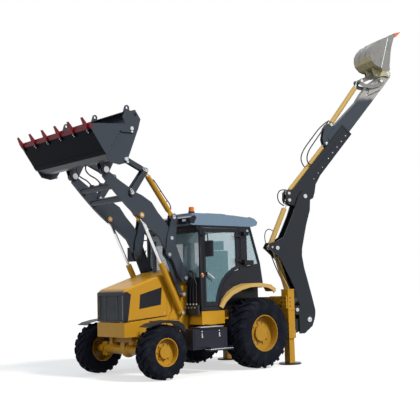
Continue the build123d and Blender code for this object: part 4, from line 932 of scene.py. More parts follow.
@dataclass
class Cab(Assembly):
    """Cab frame, glass, doors, roof, seat and mirrors."""

    pane_y: Point2 = (0.7555, 0.7625)
    screen_from: float = 1.10

    def build(self) -> None:
        """Makes the pieces of the cab."""
        self.dress(["cab_frame", "door_left", "door_right"], CAB_BLACK)
        self.dress(["cab_roof"], ROOF)
        self.dress(["cab_interior"], SEAT)
        self.dress(["cab_glass"], WINDOW)
        self.dress(["mirrors"], TRIM)
        self.dress(["rear_fenders"], PALE_YELLOW)
        for name in ("door_left", "door_right"):
            self.pane(name)
        self.screen()
        self.roof()
        self.beacon()
        self.seat()
        self.controls()
        for side in Side:
            self.door_trim(side)
            self.corner(side)

    def pane(self, name: str) -> None:
        """Gives the pane of a door the glass finish; its faces lie within the leaf's thickness.

        Args:
            name: CAD node of the door.
        """
        middle = self.layout.ground.y
        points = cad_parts[name].data.vertices

        def is_pane(face: bpy.types.MeshPolygon) -> bool:
            """Says whether a face lies within the pane's thickness."""
            reach = [abs(points[index].co.y - middle) for index in face.vertices]
            return self.pane_y[0] < min(reach) and max(reach) < self.pane_y[1]

        self.repaint(name, WINDOW, is_pane)

    def screen(self) -> None:
        """Gives the windscreen, the pane ahead of everything else, its own glass."""
        limit = self.layout.ground.x + self.screen_from
        self.repaint("cab_glass", SCREEN, lambda face: face.center.x > limit and abs(face.normal.x) > 0.2)

    def roof(self) -> None:
        """Dark front fascia with lamps, the ribs of the roof and its raised middle."""
        top = self.piece("roof_trim")
        top.use(CAB_BLACK)
        top.prism(
            [(1.451, 2.637), (1.4635, 2.742), (1.345, 2.788), (1.30, 2.750), (1.36, 2.640)], -0.8035,
            0.8035,
        )
        top.box((0.20, 0.62), (-0.29, 0.29), (2.8802, 2.889))
        top.use(ROOF)
        top.both([(0.50, 2.802), (0.60, 2.802), (0.60, 2.818), (0.50, 2.816)], 0.36, 0.79)
        top.both([(-0.16, 2.755), (-0.02, 2.781), (-0.02, 2.797), (-0.15, 2.764)], 0.10, 0.79)
        top.use(TRIM)
        top.box((1.4692, 1.472), (-0.74, 0.74), (2.6445, 2.6615))
        for y in (-0.66, -0.42, 0.42, 0.66):
            top.box((1.4722, 1.4745), (y - 0.0548, y + 0.0548), (2.6722, 2.7278))
        top.use(LENS)
        for y in (-0.66, -0.42, 0.42, 0.66):
            top.box((1.4722, 1.4765), (y - 0.047, y + 0.047), (2.679, 2.721))
        top.done("chassis", "roof_plastic", bevel=0.004)

    def beacon(self) -> None:
        """Turning lamp with a ribbed amber lens."""
        lamp = self.piece("beacon")
        lamp.use(TRIM).rod((0.996, 0.300, 2.880), (0.996, 0.300, 2.902), 0.060, sides=36)
        lamp.use(AMBER)
        lamp.rod((0.996, 0.300, 2.902), (0.996, 0.300, 2.982), 0.0545, 0.0475, sides=36)
        lamp.rod((0.996, 0.300, 2.982), (0.996, 0.300, 2.990), 0.0475, 0.036, sides=36)
        lamp.done("chassis", "roof_plastic", bevel=0.0015)

    def seat(self) -> None:
        """Suspension seat: crowned cushions with a bolster on each side."""
        seat = self.piece("driver_seat")
        seat.use(SEAT)
        rows = (
            ((0.18, 0.64), 0.24, (1.56, 1.70)), ((0.055, 0.185), 0.235, (1.66, 2.19)), (
                (0.065, 0.165), 0.135, (2.21, 2.385),
            ),
        )
        for x, half, z in rows:
            seat.box(x, (-half, half), z)
        for side in (-1, 1):
            low, high = sorted((side * 0.185, side * 0.245))
            seat.box((0.10, 0.225), (low, high), (1.74, 2.12))
            seat.box((0.20, 0.62), (low, high), (1.66, 1.735))
            low, high = sorted((side * 0.255, side * 0.315))
            seat.box((0.14, 0.46), (low, high), (1.86, 1.915))
        seat.use(TRIM)
        seat.rod((0.115, 0.05, 2.16), (0.115, 0.05, 2.24), 0.009, sides=12)
        seat.rod((0.115, -0.05, 2.16), (0.115, -0.05, 2.24), 0.009, sides=12)
        seat.box((0.20, 0.58), (-0.205, 0.205), (1.135, 1.57))
        obj = seat.done("chassis", "trim_plastic", bevel=0.028, segments=4, crease=50.0)

    def controls(self) -> None:
        """Steering wheel, console, levers and the sun visor."""
        desk = self.piece("cab_controls")
        desk.use(TRIM)
        desk.prism([(1.04, 1.135), (1.15, 1.135), (1.15, 1.50), (1.06, 1.53), (1.00, 1.47)], -0.305, 0.305)
        desk.rod((1.080, 0.0, 1.450), (0.884, 0.0, 1.695), 0.042)
        desk.use(SIGNAL_RED).box((0.98, 1.03), (0.24, 0.28), (1.47, 1.50))
        desk.use(TRIM)
        for y, z in ((0.33, 1.93), (0.39, 1.90), (-0.33, 1.93), (-0.39, 1.90)):
            desk.rod((0.62, y, 1.55), (0.66, y, z), 0.010, sides=12)
            desk.ball((0.66, y, z), 0.026)
        desk.box((0.50, 0.74), (0.28, 0.46), (1.135, 1.56))
        desk.box((0.50, 0.74), (-0.46, -0.28), (1.135, 1.56))
        desk.use(ROOF)
        desk.prism([(1.155, 2.545), (1.165, 2.545), (1.150, 2.305), (1.140, 2.305)], -0.68, 0.68)
        desk.done("chassis", "trim_plastic", bevel=0.004, replaces=["cab_interior"])
        centre = self.layout.vehicle @ Matrix.Translation((0.874, 0.0, 1.707))
        tilt = Matrix.Rotation(math.radians(-38.7), 4, "Y") @ Matrix.Rotation(math.radians(90.0), 4, "X")
        wheel = Piece("steering_wheel", centre @ tilt)
        wheel.use(TRIM).turned(
            [
                (-0.016 * math.sin(a), 0.185 + 0.016 * math.cos(a))
                for a in [math.tau * i / 12 for i in range(12)]
            ],
            40, closed=True,
        )
        wheel.box((-0.175, 0.175), (-0.006, 0.006), (-0.015, 0.015))
        wheel.box((-0.015, 0.015), (-0.006, 0.006), (-0.175, 0.0))
        wheel.rod((0, -0.018, 0), (0, 0.018, 0), 0.046)
        wheel.done("chassis", "trim_plastic", bevel=0.002)

    def door_trim(self, side: Side) -> None:
        """Handle, seal, hinges and indicator of one door."""
        trim = self.sided("door_trim", side)
        trim.use(WHITE).rod((1.088, 0.812, 1.7635), (0.925, 0.812, 1.655), 0.0135, sides=16)
        trim.use(CAB_BLACK)
        trim.box((0.275, 1.150), (0.7803, 0.786), (2.520, 2.562))
        trim.box((1.100, 1.146), (0.7803, 0.788), (1.200, 2.520))
        trim.use(TRIM)
        for z in (1.99, 2.44):
            trim.box((0.285, 0.41), (0.8022, 0.818), (z - 0.027, z + 0.027))
        trim.done("door_" + side.word, "arm_charcoal", bevel=0.002)
        lamp = self.sided("indicator", side)
        lamp.use(AMBER).rod((1.19, 0.7802, 1.72), (1.19, 0.812, 1.72), 0.032, 0.026, sides=24)
        lamp.use(WHITE).rod((1.19, 0.7802, 1.72), (1.19, 0.788, 1.72), 0.042, sides=24)
        lamp.done("chassis", "trim_plastic", bevel=0.003)

    def corner(self, side: Side) -> None:
        """Work lamps, grab rail, mirror glass and rear lamp of one side."""
        trim = self.sided("cab_trim", side)
        trim.use(TRIM)
        trim.box((0.07, 0.20), (0.7803, 0.845), (2.445, 2.515))
        trim.box((-0.03, 0.20), (0.7803, 0.850), (1.895, 1.985))
        trim.box((1.158, 1.222), (0.7803, 0.787), (1.10, 2.61))
        trim.prism([(1.222, 2.50), (1.30, 2.57), (1.30, 2.61), (1.222, 2.61)], 0.0, 0.780)
        trim.use(CAB_BLACK).box((0.105, 0.235), (0.7803, 0.786), (2.00, 2.44))
        trim.use(LENS).box((-0.032, -0.030), (0.79, 0.84), (1.905, 1.975))
        trim.use(SIGNAL_RED).prism(
            [(-0.385, 1.418), (-0.30, 1.475), (-0.27, 1.525), (-0.40, 1.45)], 0.90, 1.04,
        )
        trim.done("chassis", "trim_plastic", bevel=0.003)
        rail = [
            (1.235, 0.795, 1.30), (1.262, 0.835, 1.34), (1.262, 0.838, 1.80), (1.262, 0.835, 2.20),
            (1.235, 0.795, 2.24),
        ]
        rail = [(x, side.value * y, z) for x, y, z in rail]
        self.hose("grab_rail_" + side.word, rail, 0.010, "chassis")


@dataclass
class Loader(Assembly):
    """Arms, linkage, cylinders and bucket of the front loader."""

    pins: dict[str, Point2] = field(
        default_factory=lambda: {
            "arm": (1.351, 1.683), "tie_base": (1.407, 1.394), "lift_base": (1.439, 1.072),
            "lift_eye": (2.290, 2.775), "knee": (1.657, 2.388), "tie_top": (1.713, 2.099),
            "tilt_base": (1.592, 2.761), "lever_foot": (2.500, 3.152), "lever_top": (2.202, 3.556),
            "link_end": (2.840, 3.827), "bucket": (3.035, 3.509), "clam": (2.898, 4.122),
        }
    )

    def build(self) -> None:
        """Makes the pieces of the loader."""
        self.dress(
            [
                "loader_arms", "idlers", "levelling_links", "levers", "links", "loader_bucket",
                "bucket_clam",
            ],
            CHARCOAL,
        )
        # Painted shade: every face of the clam that does not face sideways gets the darker charcoal, standing
        # in for its shade.
        self.repaint("bucket_clam", CLAM_SHADE_CHARCOAL, lambda face: abs(face.normal.y) < 0.5)
        self.dress(["lift_barrels", "tilt_barrels"], YELLOW)
        self.dress(["lift_rods", "tilt_rods"], CHROME)
        self.dress(["tilt_pins", "bucket_pins", "lever_pins", "link_pins"], PIN_STEEL)
        for side in Side:
            self.keepers(side)
            self.eyes(side)
            self.tilt_hose(side)
        self.bucket_trim()
        self.clam_trim()
        self.arm_hoses()

    def keepers(self, side: Side) -> None:
        """Bright keeper plates on the outer end of each pin."""
        rows = (
            ("lever_foot", "arms", 0.5512, 62.0), ("lever_top", "levers", 0.5512, 20.0), (
                "bucket", "arms", 0.5512, 70.0,
            ),
            ("tilt_base", "idlers", 0.5352, 80.0), ("knee", "arms", 0.5392, 0.0), (
                "tie_top", "idlers", 0.5352, 0.0,
            ),
        )
        for name, body, face, tilt in rows:
            x, z = self.pins[name]
            keeper = self.sided("keeper_" + name, side)
            keeper.use(WHITE if tilt else PIN_STEEL).pin((x, z), face, face + 0.006, 0.032)
            if tilt:
                foot = Vector((x, z))
                end = foot + Vector((math.cos(math.radians(tilt)), math.sin(math.radians(tilt)))) * 0.055
                keeper.pin(tuple(end), face, face + 0.006, 0.022)
                keeper.strap(foot, end, (0.032, 0.022), face, face + 0.006)
                keeper.use(IRON).pin(tuple(end), face + 0.006, face + 0.013, 0.011, 6)
            keeper.done(body, "pin_steel", bevel=0.001)

    def eyes(self, side: Side) -> None:
        """Yellow bosses on the arm at the lift rod's eye, and the yellow end of the tilt rod."""
        eye = self.sided("lift_eye", side)
        for near, far, cap in ((0.5132, 0.530, 0.537), (0.4578, 0.441, 0.434)):
            eye.use(YELLOW).pin(self.pins["lift_eye"], near, far, 0.050, 32)
            eye.use(PIN_STEEL).pin(self.pins["lift_eye"], far, cap, 0.028)
        eye.done("arms", "frame_yellow", bevel=0.003)
        start, end = Vector(self.pins["lever_top"]), Vector(self.pins["tilt_base"])
        run = (end - start).normalized()
        neck = self.sided("tilt_eye", side)
        neck.use(YELLOW).pin(self.pins["lever_top"], 0.4690, 0.5020, 0.044)
        neck.strap(start + run * 0.046, start + run * 0.1155, (0.027, 0.027), 0.4670, 0.5040)
        neck.done("tilt_rods", "frame_yellow", bevel=0.003)

    def tilt_hose(self, side: Side) -> None:
        """Hose and pipe along one tilt cylinder."""
        start, end = Vector(self.pins["tilt_base"]), Vector(self.pins["lever_top"])
        run = (end - start).normalized()
        away = Vector((-run.y, run.x))
        y = side.value * 0.4855
        spots = ((0.13, 0.055), (0.18, 0.105), (0.34, 0.088), (0.56, 0.080), (0.70, 0.080), (0.775, 0.062))
        points = [start + run * s + away * t for s, t in spots]
        self.hose("tilt_hose_" + side.word, [(p.x, y, p.y) for p in points], 0.010, "tilt_barrels")
        clip = self.piece("tilt_hose_clips_" + side.word)
        clip.use(IRON)
        for along in (0.30, 0.52, 0.74):
            base = start + run * along
            tip = base + away * 0.085
            clip.rod((base.x, y, base.y), (tip.x, y, tip.y), 0.009, sides=8)
        clip.done("tilt_barrels", "dark_iron")

    def bucket_trim(self) -> None:
        """Split-line teeth, seam bars, pin keepers, and a black square on each side that is painted shade for
        an opening of the rear body.
        """
        trim = self.piece("bucket_trim")
        trim.use(CAB_BLACK)
        first, last = Vector((3.125, 4.045)), Vector((3.30, 3.81))
        run = (last - first).normalized()
        away = Vector((-run.y, run.x))
        for index in range(6):
            at = first + (last - first) * index / 5
            corners = [at - run * 0.014, at + away * 0.026, at + run * 0.014, at - away * 0.010]
            trim.both([(c.x, c.y) for c in corners], 1.0965, 1.1198)
        trim.use(WHITE)
        for x, z, lean in ((3.014, 3.610, 60.0), (2.898, 4.122, 85.0)):
            reach = Vector((math.cos(math.radians(lean)), math.sin(math.radians(lean)))) * 0.05
            for y in (-1, 1):
                trim.pin((x, z), y * 1.0965, y * 1.128, 0.033)
                trim.pin((x - reach.x, z - reach.y), y * 1.0965, y * 1.124, 0.020)
        # Painted shade: a thin black square on each side plate stands for the dark inside of an opening.
        trim.use(CAB_BLACK)
        trim.both([(2.785, 4.345), (2.835, 4.345), (2.835, 4.400), (2.785, 4.400)], 1.0965, 1.099)
        trim.done("loader_bucket", "arm_charcoal", bevel=0.002)

    def clam_trim(self) -> None:
        """Red cutting edge, teeth and the bars of the clam's floor."""
        edge = self.piece("clam_teeth")
        edge.use(TOOTH_RED)
        lip = [(3.668, 4.052), (3.6895, 4.0400), (3.7185, 4.0815), (3.7145, 4.1245), (3.690, 4.110)]
        edge.prism(lip, -1.1215, 1.1215)
        edge.both([(3.650, 4.102), (3.7145, 4.086), (3.7145, 4.1245), (3.650, 4.133)], 1.118, 1.1225)
        tooth = [
            (3.700, 4.016), (3.7055, 4.0185), (3.7645, 4.0935), (3.815, 4.212), (3.803, 4.2185),
            (3.7325, 4.140), (3.700, 4.106),
        ]
        spots = [(index - 2.5) * 0.416 for index in range(6)]
        for y in spots:
            edge.prism(tooth, y - 0.0255, y + 0.0255)
        # The tooth adapters take the same painted-shade charcoal.
        edge.use(CLAM_SHADE_CHARCOAL)
        for y in spots:
            edge.prism(
                [(3.6435, 3.997), (3.662, 3.976), (3.7035, 4.016), (3.7035, 4.106)], y - 0.0252,
                y + 0.0252,
            )
        edge.use(PIN_STEEL)
        for y in spots:
            for x, z in ((3.679, 3.994), (3.702, 4.014)):
                edge.rod((x, y, z), (x + 0.010, y, z - 0.008), 0.009, sides=8)
        edge.done("bucket_clam", "clam_paint", bevel=0.003)
        seam = self.piece("clam_floor_bars")
        # The floor bars take the painted-shade charcoal of the clam's floor.
        seam.use(CLAM_SHADE_CHARCOAL)
        seam.prism([(3.4452, 3.7052), (3.4520, 3.7042), (3.4620, 3.7222), (3.4570, 3.7250)], -1.12, 1.12)
        seam.prism([(3.402, 3.662), (3.4075, 3.6575), (3.450, 3.7035), (3.4445, 3.7085)], -1.12, 1.12)
        seam.done("bucket_clam", "clam_paint", bevel=0.002)

    def arm_hoses(self) -> None:
        """Hoses that loop from the first cross tube to the bucket's clam cylinders."""
        for index, y in enumerate((0.13, -0.16)):
            path = [
                (2.86, y, 3.318), (2.93, y, 3.40), (3.10, y, 3.46), (3.20, y + 0.02, 3.56),
                (3.17, y + 0.04, 3.640),
            ]
            self.hose(f"clam_hose_{index}", path, 0.012, "arms")
        clips = self.piece("arm_clips")
        clips.use(IRON)
        for y in (0.13, -0.16):
            clips.box((2.825, 2.885), (y - 0.03, y + 0.03), (3.300, 3.335))
        clips.use(PIN_STEEL)
        for x, z in ((2.84, 3.26), (2.64, 3.06)):
            for y in (-0.30, 0.30):
                clips.rod((x - 0.045, y, z + 0.045), (x - 0.055, y, z + 0.055), 0.016, sides=12)
        clips.done("arms", "arm_charcoal", bevel=0.002)


@dataclass
class Hood(Assembly):
    """Hood shell, grille and side vents."""

    def build(self) -> None:
        """Makes the pieces of the hood."""
        self.dress(["hood_shell"], YELLOW)
        self.dress(["grille"], TRIM)
        self.grille()
        self.lamps()

    def grille(self) -> None:
        """Slatted front panel in a dark surround that wraps the corners, and louvred side vents."""
        panel = self.piece("grille_panel")
        panel.use(TRIM).box((2.573, 2.5955), (-0.3567, 0.3567), (0.9863, 1.4087))
        panel.use(SLATS)
        for index in range(30):
            z = 0.994 + index * 0.0098 * (1.0 + 0.014 * index)
            panel.box((2.5955, 2.606), (-0.352, 0.352), (z, z + 0.0050))
        for y in (-0.352, -0.178, 0.178, 0.340):
            panel.box((2.5955, 2.609), (y, y + 0.012), (0.9863, 1.4087))
        panel.use(CAB_BLACK)
        for low, high in ((1.405, 1.4585), (0.960, 0.986)):
            panel.box((2.6152, 2.6200), (-0.4045, 0.4045), (low, high))
        for y in (-1, 1):
            low, high = sorted((y * 0.3562, y * 0.4045))
            panel.box((2.6152, 2.6200), (low, high), (0.986, 1.405))
        lip = [
            (2.6202, 1.4580), (2.6202, 1.4640), (2.5560, 1.5060), (2.5360, 1.5045), (2.5380, 1.4995),
            (2.5550, 1.5008),
        ]
        panel.prism(lip, -0.3700, 0.3700)
        panel.both(
            [(2.6200, 0.960), (2.6200, 1.4585), (2.5550, 1.4705), (2.4680, 1.4230), (2.5400, 0.960)],
            0.4021, 0.4055,
        )
        panel.use(TRIM)
        outline = [(2.2995, 1.1655), (2.2745, 1.4145), (1.8005, 1.5295), (1.8305, 1.2255)]
        panel.both(outline, 0.3912, 0.3965)
        for index in range(13):
            z = 1.180 + index * 0.0262
            front = 2.296 - (z - 1.165) * 0.1
            rear = 1.832 - (z - 1.165) * 0.08
            if z > 1.415:
                front = 2.275 - (z - 1.415) * 4.1
            if z < 1.225:
                rear = 1.84 + (1.225 - z) * 7.0
            if front - rear > 0.05:
                slat = [
                    (rear + 0.01, z), (front - 0.01, z), (front - 0.01, z + 0.010),
                    (rear + 0.01, z + 0.010),
                ]
                panel.both(slat, 0.3965, 0.4005)
        panel.done("hood", "trim_plastic", bevel=0.0012, replaces=["grille"])

    # This draws no lamp: its pale strip is a painted highlight.
    def lamps(self) -> None:
        """Seam between hood and nose, latches, and a painted highlight: a bright strip beside the grille on
        the near side.
        """
        trim = self.piece("hood_trim")
        trim.use(TRIM).both(
            [(1.705, 1.028), (2.545, 0.972), (2.545, 0.9805), (1.705, 1.0365)], 0.4021, 0.4033,
        )
        trim.use(PIN_STEEL)
        for x, z in ((2.50, 1.00), (1.76, 1.075)):
            for y in (-1, 1):
                trim.pin((x, z), y * 0.402, y * 0.408, 0.011, 12)
        # Painted highlight: a thin pale strip in the lens finish, standing for the sheen along the near edge
        # of the grille.
        trim.use(LENS)
        trim.box((2.6202, 2.6220), (0.3615, 0.3665), (0.995, 1.400))
        trim.done("hood", "trim_plastic", bevel=0.001)


@dataclass
class Digger(Assembly):
    """Boom, dipper, cylinders and bucket behind the machine."""

    def build(self) -> None:
        """Makes the pieces of the digger."""
        self.dress(["boom", "dipper"], BOOM_CHARCOAL)
        self.dress(["inner_dipper"], WORN_ARM)
        self.dress(["tipping_lever", "bucket_link"], BARE_STEEL)
        self.dress(
            ["boom_ram_barrel", "dipper_ram_barrel", "slide_ram_barrel", "bucket_ram_barrel"],
            PALE_YELLOW,
        )
        self.dress(["boom_ram_rod", "dipper_ram_rod", "slide_ram_rod", "bucket_ram_rod"], CHROME)
        self.dress(["digging_bucket"], SOILED_STEEL)
        self.pin_caps()
        self.dipper_trim()
        self.bucket_trim()
        self.hoses()

    def along(self, s: float, t: float) -> Point2:
        """Point of the dipper, s along it and t towards its upper side, in the digger's plane."""
        return (1.130 + 0.665 * s - 0.747 * t, 4.140 + 0.747 * s + 0.665 * t)

    def pin_caps(self) -> None:
        """Bright caps on the ends of the digger's pins."""
        rows = (
            ("foot", "kingpost", (0.330, 0.810), 0.181, 0.050), (
                "post_ram", "kingpost", (0.060, 1.010), 0.181, 0.036,
            ),
            ("knee", "boom", (-0.310, 2.240), 0.1385, 0.040), (
                "nose", "boom", (-0.425, 2.255), 0.1385, 0.020,
            ),
            ("elbow", "boom", (0.360, 3.280), 0.1385, 0.042), (
                "ram_eye", "dipper", (0.020, 3.200), 0.0955, 0.034,
            ),
            ("tail", "dipper", (0.0155, 3.3393), 0.0955, 0.030), (
                "slide_eye", "inner_dipper", (0.9598, 4.400), 0.0605, 0.030,
            ),
            ("bucket_ram", "inner_dipper", (1.090, 4.800), 0.0625, 0.032), (
                "tip", "inner_dipper", (2.520, 5.975), 0.1285, 0.044,
            ),
            ("lever", "inner_dipper", (2.345, 5.805), 0.1265, 0.034),
            ("link", "digging_bucket", (2.225, 5.935), 0.1283, 0.036), (
                "lever_end", "tipping_lever", (1.850, 5.770), 0.1223, 0.032,
            ),
            ("tip_bolt", "inner_dipper", (1.998, 5.476), 0.0685, 0.020),
        )
        for name, body, at, face, radius in rows:
            cap = Piece("pin_cap_" + name, self.layout.digger)
            cap.use(PIN_STEEL)
            for side in (1, -1):
                cap.pin(at, side * face, side * (face + 0.008), radius)
                cap.pin(at, side * (face + 0.008), side * (face + 0.015), radius * 0.4, 12)
            cap.done(body, "pin_steel", bevel=0.0015)

    def dipper_trim(self) -> None:
        """Wear-pad bolts, edge strips and end collar of the outer dipper."""
        trim = Piece("dipper_trim", self.layout.digger)
        trim.use(BOOM_CHARCOAL)
        for low, high in ((0.0955, 0.101), (-0.101, -0.0955)):
            trim.prism(
                [
                    self.along(-0.56, 0.150), self.along(0.638, 0.150), self.along(0.638, 0.166),
                    self.along(-0.56, 0.166),
                ],
                low, high,
            )
            trim.prism(
                [
                    self.along(0.595, 0.004), self.along(0.638, 0.004), self.along(0.638, 0.276),
                    self.along(0.595, 0.276),
                ],
                low, high,
            )
            trim.prism(
                [
                    self.along(-0.50, 0.004), self.along(0.595, 0.004), self.along(0.595, 0.024),
                    self.along(-0.50, 0.024),
                ],
                low, high,
            )
        trim.use(WHITE)
        for index in range(5):
            at = self.along(0.50 - index * 0.165, 0.085)
            for side in (1, -1):
                trim.pin(at, side * 0.0955, side * 0.105, 0.013, 12)
        for index in range(3):
            at = self.along(-0.40 - index * 0.16, 0.070)
            for side in (1, -1):
                trim.pin(at, side * 0.0955, side * 0.103, 0.010, 12)
        trim.done("dipper", "arm_charcoal", bevel=0.002)

    def bucket_trim(self) -> None:
        """Side plates with their seams, back ribs and teeth of the digging bucket."""
        trim = Piece("digging_teeth", self.layout.digger)
        trim.use(BARE_STEEL)
        side = [
            (2.598, 6.765), (2.512, 6.520), (2.482, 6.380), (2.457, 6.200), (2.442, 6.110), (2.444, 5.996),
            (2.318, 5.958), (2.238, 5.988), (2.224, 6.050), (2.182, 6.046), (2.085, 6.078), (1.983, 6.177),
            (1.957, 6.280), (1.967, 6.382), (2.028, 6.493), (2.139, 6.603), (2.460, 6.753), (2.590, 6.793),
        ]
        trim.both(side, 0.3102, 0.3155)
        inner = [
            (2.102, 6.088), (1.987, 6.181), (1.962, 6.280), (1.972, 6.379), (2.031, 6.488), (2.141, 6.598),
            (2.461, 6.748),
        ]
        outer = [
            (2.454, 6.763), (2.132, 6.612), (2.018, 6.499), (1.955, 6.385), (1.945, 6.281), (1.971, 6.172),
            (2.093, 6.071),
        ]
        trim.use(SOILED_STEEL).both(inner + outer, 0.108, 0.126)
        trim.use(TREAD_METAL).both(
            [(2.424, 6.710), (2.434, 6.708), (2.235, 6.036), (2.225, 6.038)], 0.3155, 0.3175,
        )
        for index in range(5):
            y = (index - 2) * (0.310 - 0.045) / 2
            trim.use(IRON)
            trim.prism(
                [(2.500, 6.776), (2.540, 6.733), (2.640, 6.768), (2.652, 6.818), (2.600, 6.808)],
                y - 0.036, y + 0.036,
            )
            trim.use(TOOTH_ORANGE)
            trim.prism(
                [(2.610, 6.742), (2.645, 6.750), (2.7690, 6.864), (2.7660, 6.870), (2.610, 6.826)],
                y - 0.038, y + 0.038,
            )
        trim.done("digging_bucket", "bare_steel", bevel=0.003)
        sleeve = Piece("slide_ram_sleeve", self.layout.digger)
        first, last = Vector((0.0155, 3.3393)), Vector((0.9598, 4.400))
        run = (last - first).normalized()
        low, high, collar = first + run * 0.10, first + run * 1.31, first + run * 1.33
        sleeve.use(PALE_YELLOW).rod((low.x, 0.0, low.y), (high.x, 0.0, high.y), 0.0455)
        sleeve.use(IRON).rod((high.x, 0.0, high.y), (collar.x, 0.0, collar.y), 0.040)
        sleeve.done("dipper", "frame_yellow", bevel=0.003)

    def hoses(self) -> None:
        """Hose loops of the digger, each as (y, u, z) points; the loops of the inner dipper ride on no body.
        """
        pipe = [(-0.36, 2.17), (-0.30, 1.98), (-0.16, 1.68), (-0.03, 1.42), (0.06, 1.24)]
        rows = (
            (
                "ear_hose_upper", "inner_dipper", 0.0125,
                [
                    (0.03, 1.09, 4.90), (-0.05, 0.86, 4.78), (-0.05, 0.62, 4.50), (-0.05, 0.37, 4.20),
                    (-0.05, 0.33, 3.99), (-0.05, 0.42, 3.89),
                ],
            ),
            (
                "ear_hose_lower", "inner_dipper", 0.0125,
                [
                    (0.05, 1.08, 4.88), (-0.03, 0.93, 4.73), (-0.07, 0.70, 4.46), (-0.075, 0.49, 4.20),
                    (-0.075, 0.46, 4.00), (-0.075, 0.56, 3.915), (-0.085, 0.68, 3.97),
                ],
            ),
            (
                "tail_hose_outer", "dipper", 0.011,
                [
                    (0.05, 0.03, 3.42), (0.07, -0.10, 3.44), (0.08, -0.17, 3.30), (0.08, -0.12, 3.14),
                    (0.06, -0.02, 3.10),
                ],
            ),
            (
                "tail_hose_inner", "dipper", 0.011,
                [
                    (-0.05, 0.05, 3.40), (-0.06, -0.06, 3.42), (-0.07, -0.12, 3.30), (-0.07, -0.08, 3.16),
                    (-0.05, 0.00, 3.12),
                ],
            ),
            ("boom_hose_front", "boom", 0.011, [(0.09, u, z) for u, z in pipe]),
            ("boom_hose_rear", "boom", 0.011, [(-0.09, u, z) for u, z in pipe]),
            (
                "nose_hose", "dipper_ram_barrel", 0.009,
                [
                    (0.07, -0.43, 2.27), (0.07, -0.47, 2.36), (0.06, -0.49, 2.47), (0.05, -0.475, 2.58),
                    (0.03, -0.41, 2.63), (0.01, -0.34, 2.60), (0.0, -0.29, 2.55),
                ],
            ),
            (
                "elbow_hose", "boom", 0.011,
                [
                    (0.10, 0.30, 3.05), (0.15, 0.44, 3.12), (0.155, 0.52, 3.24), (0.15, 0.50, 3.38),
                    (0.105, 0.40, 3.40),
                ],
            ),
        )
        for name, body, radius, points in rows:
            far = "dipper" if body == "inner_dipper" else ""
            self.hose(name, [(u, y, z) for y, u, z in points], radius, body, self.layout.digger, far)


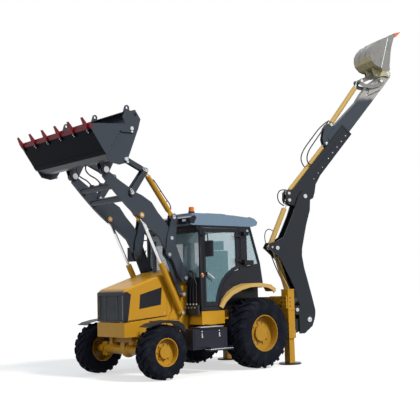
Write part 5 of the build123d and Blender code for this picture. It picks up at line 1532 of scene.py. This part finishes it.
@dataclass
class Studio:
    """Floor, world, lamps and the camera of the photograph."""

    layout: Layout
    eye: Point3 = (10.5873685, 11.8060114, 1.55071638)
    yaw: float = 0.717871918
    pitch: float = 0.0914267184
    roll: float = -0.0274245369
    focal_px: float = 814.338319
    image_px: float = 420.0

    def camera(self) -> None:
        """Places the camera as solved from the wheels."""
        forward = Vector(
            (
                -math.sin(self.yaw) * math.cos(self.pitch), -math.cos(self.yaw) * math.cos(self.pitch),
                math.sin(self.pitch),
            )
        )
        right = forward.cross(Vector((0, 0, 1))).normalized()
        up = right.cross(forward)
        across = right * math.cos(self.roll) + up * math.sin(self.roll)
        above = up * math.cos(self.roll) - right * math.sin(self.roll)
        data = bpy.data.cameras.new("camera")
        data.sensor_width = 36.0
        data.lens = self.focal_px / self.image_px * 36.0
        data.clip_end = 200.0
        obj = bpy.data.objects.new("camera", data)
        turn = Matrix((across, above, -forward)).transposed().to_4x4()
        obj.matrix_world = Matrix.Translation(self.layout.vehicle @ Vector(self.eye)) @ turn
        bpy.context.scene.collection.objects.link(obj)
        bpy.context.scene.camera = obj

    def floor(self) -> None:
        """Pale floor that keeps the object's shadow."""
        bm = bmesh.new()
        bmesh.ops.create_grid(bm, x_segments=1, y_segments=1, size=60.0)
        mesh = bpy.data.meshes.new("floor")
        bm.to_mesh(mesh)
        bm.free()
        obj = bpy.data.objects.new("floor", mesh)
        graph = Graph("floor_white")
        seen = graph.node("ShaderNodeLightPath", {}, {}, CAMERA_RAY)
        for ray in (GLOSSY_RAY, TRANSMISSION_RAY):
            seen = seen + graph.node("ShaderNodeLightPath", {}, {}, ray)
        plain = graph.node("ShaderNodeBsdfDiffuse", {}, {"Color": (0.13, 0.13, 0.13)})
        pale = graph.node("ShaderNodeBsdfDiffuse", {}, {"Color": (0.50, 0.50, 0.50)})
        glow = graph.node("ShaderNodeEmission", {}, {"Color": (1.0, 1.0, 1.0), "Strength": 0.58})
        white = graph.node("ShaderNodeAddShader", {}, {0: pale, 1: glow})
        graph.node_output(
            graph.node("ShaderNodeMixShader", {}, {0: seen.between(0.0, 1.0), 1: plain, 2: white}),
        )
        mesh.materials.append(graph.material)
        bpy.context.scene.collection.objects.link(obj)

    def world(self) -> None:
        """White to the camera and in reflections, plain ambient light elsewhere."""
        world = bpy.data.worlds.new("studio_world")
        bpy.context.scene.world = world
        world.use_nodes = True
        tree = world.node_tree
        tree.nodes.clear()
        path = tree.nodes.new("ShaderNodeLightPath")
        seen = path.outputs["Is Camera Ray"]
        for name in ("Is Glossy Ray", "Is Transmission Ray"):
            both = tree.nodes.new("ShaderNodeMath")
            both.operation = "MAXIMUM"
            tree.links.new(seen, both.inputs[0])
            tree.links.new(path.outputs[name], both.inputs[1])
            seen = both.outputs[0]
        ambient = tree.nodes.new("ShaderNodeBackground")
        ambient.inputs["Color"].default_value = (0.86, 0.92, 1.0, 1.0)
        ambient.inputs["Strength"].default_value = 0.42
        white = tree.nodes.new("ShaderNodeBackground")
        white.inputs["Color"].default_value = (1.0, 1.0, 1.0, 1.0)
        mix = tree.nodes.new("ShaderNodeMixShader")
        end = tree.nodes.new("ShaderNodeOutputWorld")
        tree.links.new(seen, mix.inputs[0])
        tree.links.new(ambient.outputs[0], mix.inputs[1])
        tree.links.new(white.outputs[0], mix.inputs[2])
        tree.links.new(mix.outputs[0], end.inputs[0])

    def lamp(self, name: str, towards: Point3, strength: float, angle: float, colour: Colour) -> None:
        """Soft sun that shines along a direction.

        Args:
            name: Name of the lamp.
            towards: Direction of its light.
            strength: Strength of the sun.
            angle: Apparent size in degrees.
            colour: Its colour.
        """
        data = bpy.data.lights.new(name, "SUN")
        data.energy = strength
        data.angle = math.radians(angle)
        data.color = colour
        obj = bpy.data.objects.new(name, data)
        obj.rotation_euler = Vector(towards).to_track_quat("-Z", "Y").to_euler()
        bpy.context.scene.collection.objects.link(obj)

    def build(self) -> None:
        """Makes the studio."""
        bpy.context.scene.view_settings.view_transform = "Standard"
        self.camera()
        self.floor()
        self.world()
        self.lamp("key", (0.22, -0.82, -0.66), 2.9, 10.0, (1.0, 0.97, 0.92))
        self.lamp("fill", (-0.85, -0.20, -0.40), 0.75, 30.0, (0.95, 0.97, 1.0))


def main() -> None:
    """Builds the studio and every assembly in order."""
    logging.basicConfig(level=logging.INFO, format="%(message)s")
    layout = Layout.from_frame()
    Studio(layout).build()
    for side in Side:
        Wheel(layout, "rear_" + side.word, (0.0, side.value * 0.898, 0.645)).build()
        Wheel(
            layout, "front_" + side.word, (2.250, side.value * 0.938, 0.460),
            radius=0.460, width=0.35, rim=0.235, lugs=18, lug_height=0.030, lug_width=0.050,
            disc=0.055, hub_radius=0.105, bolts=8,
        ).build()
    for assembly in (Chassis(layout), Hood(layout), Cab(layout), Loader(layout), Digger(layout)):
        assembly.build()
        LOG.info("%s is built", type(assembly).__name__)


if __name__ == "__main__":
    main()
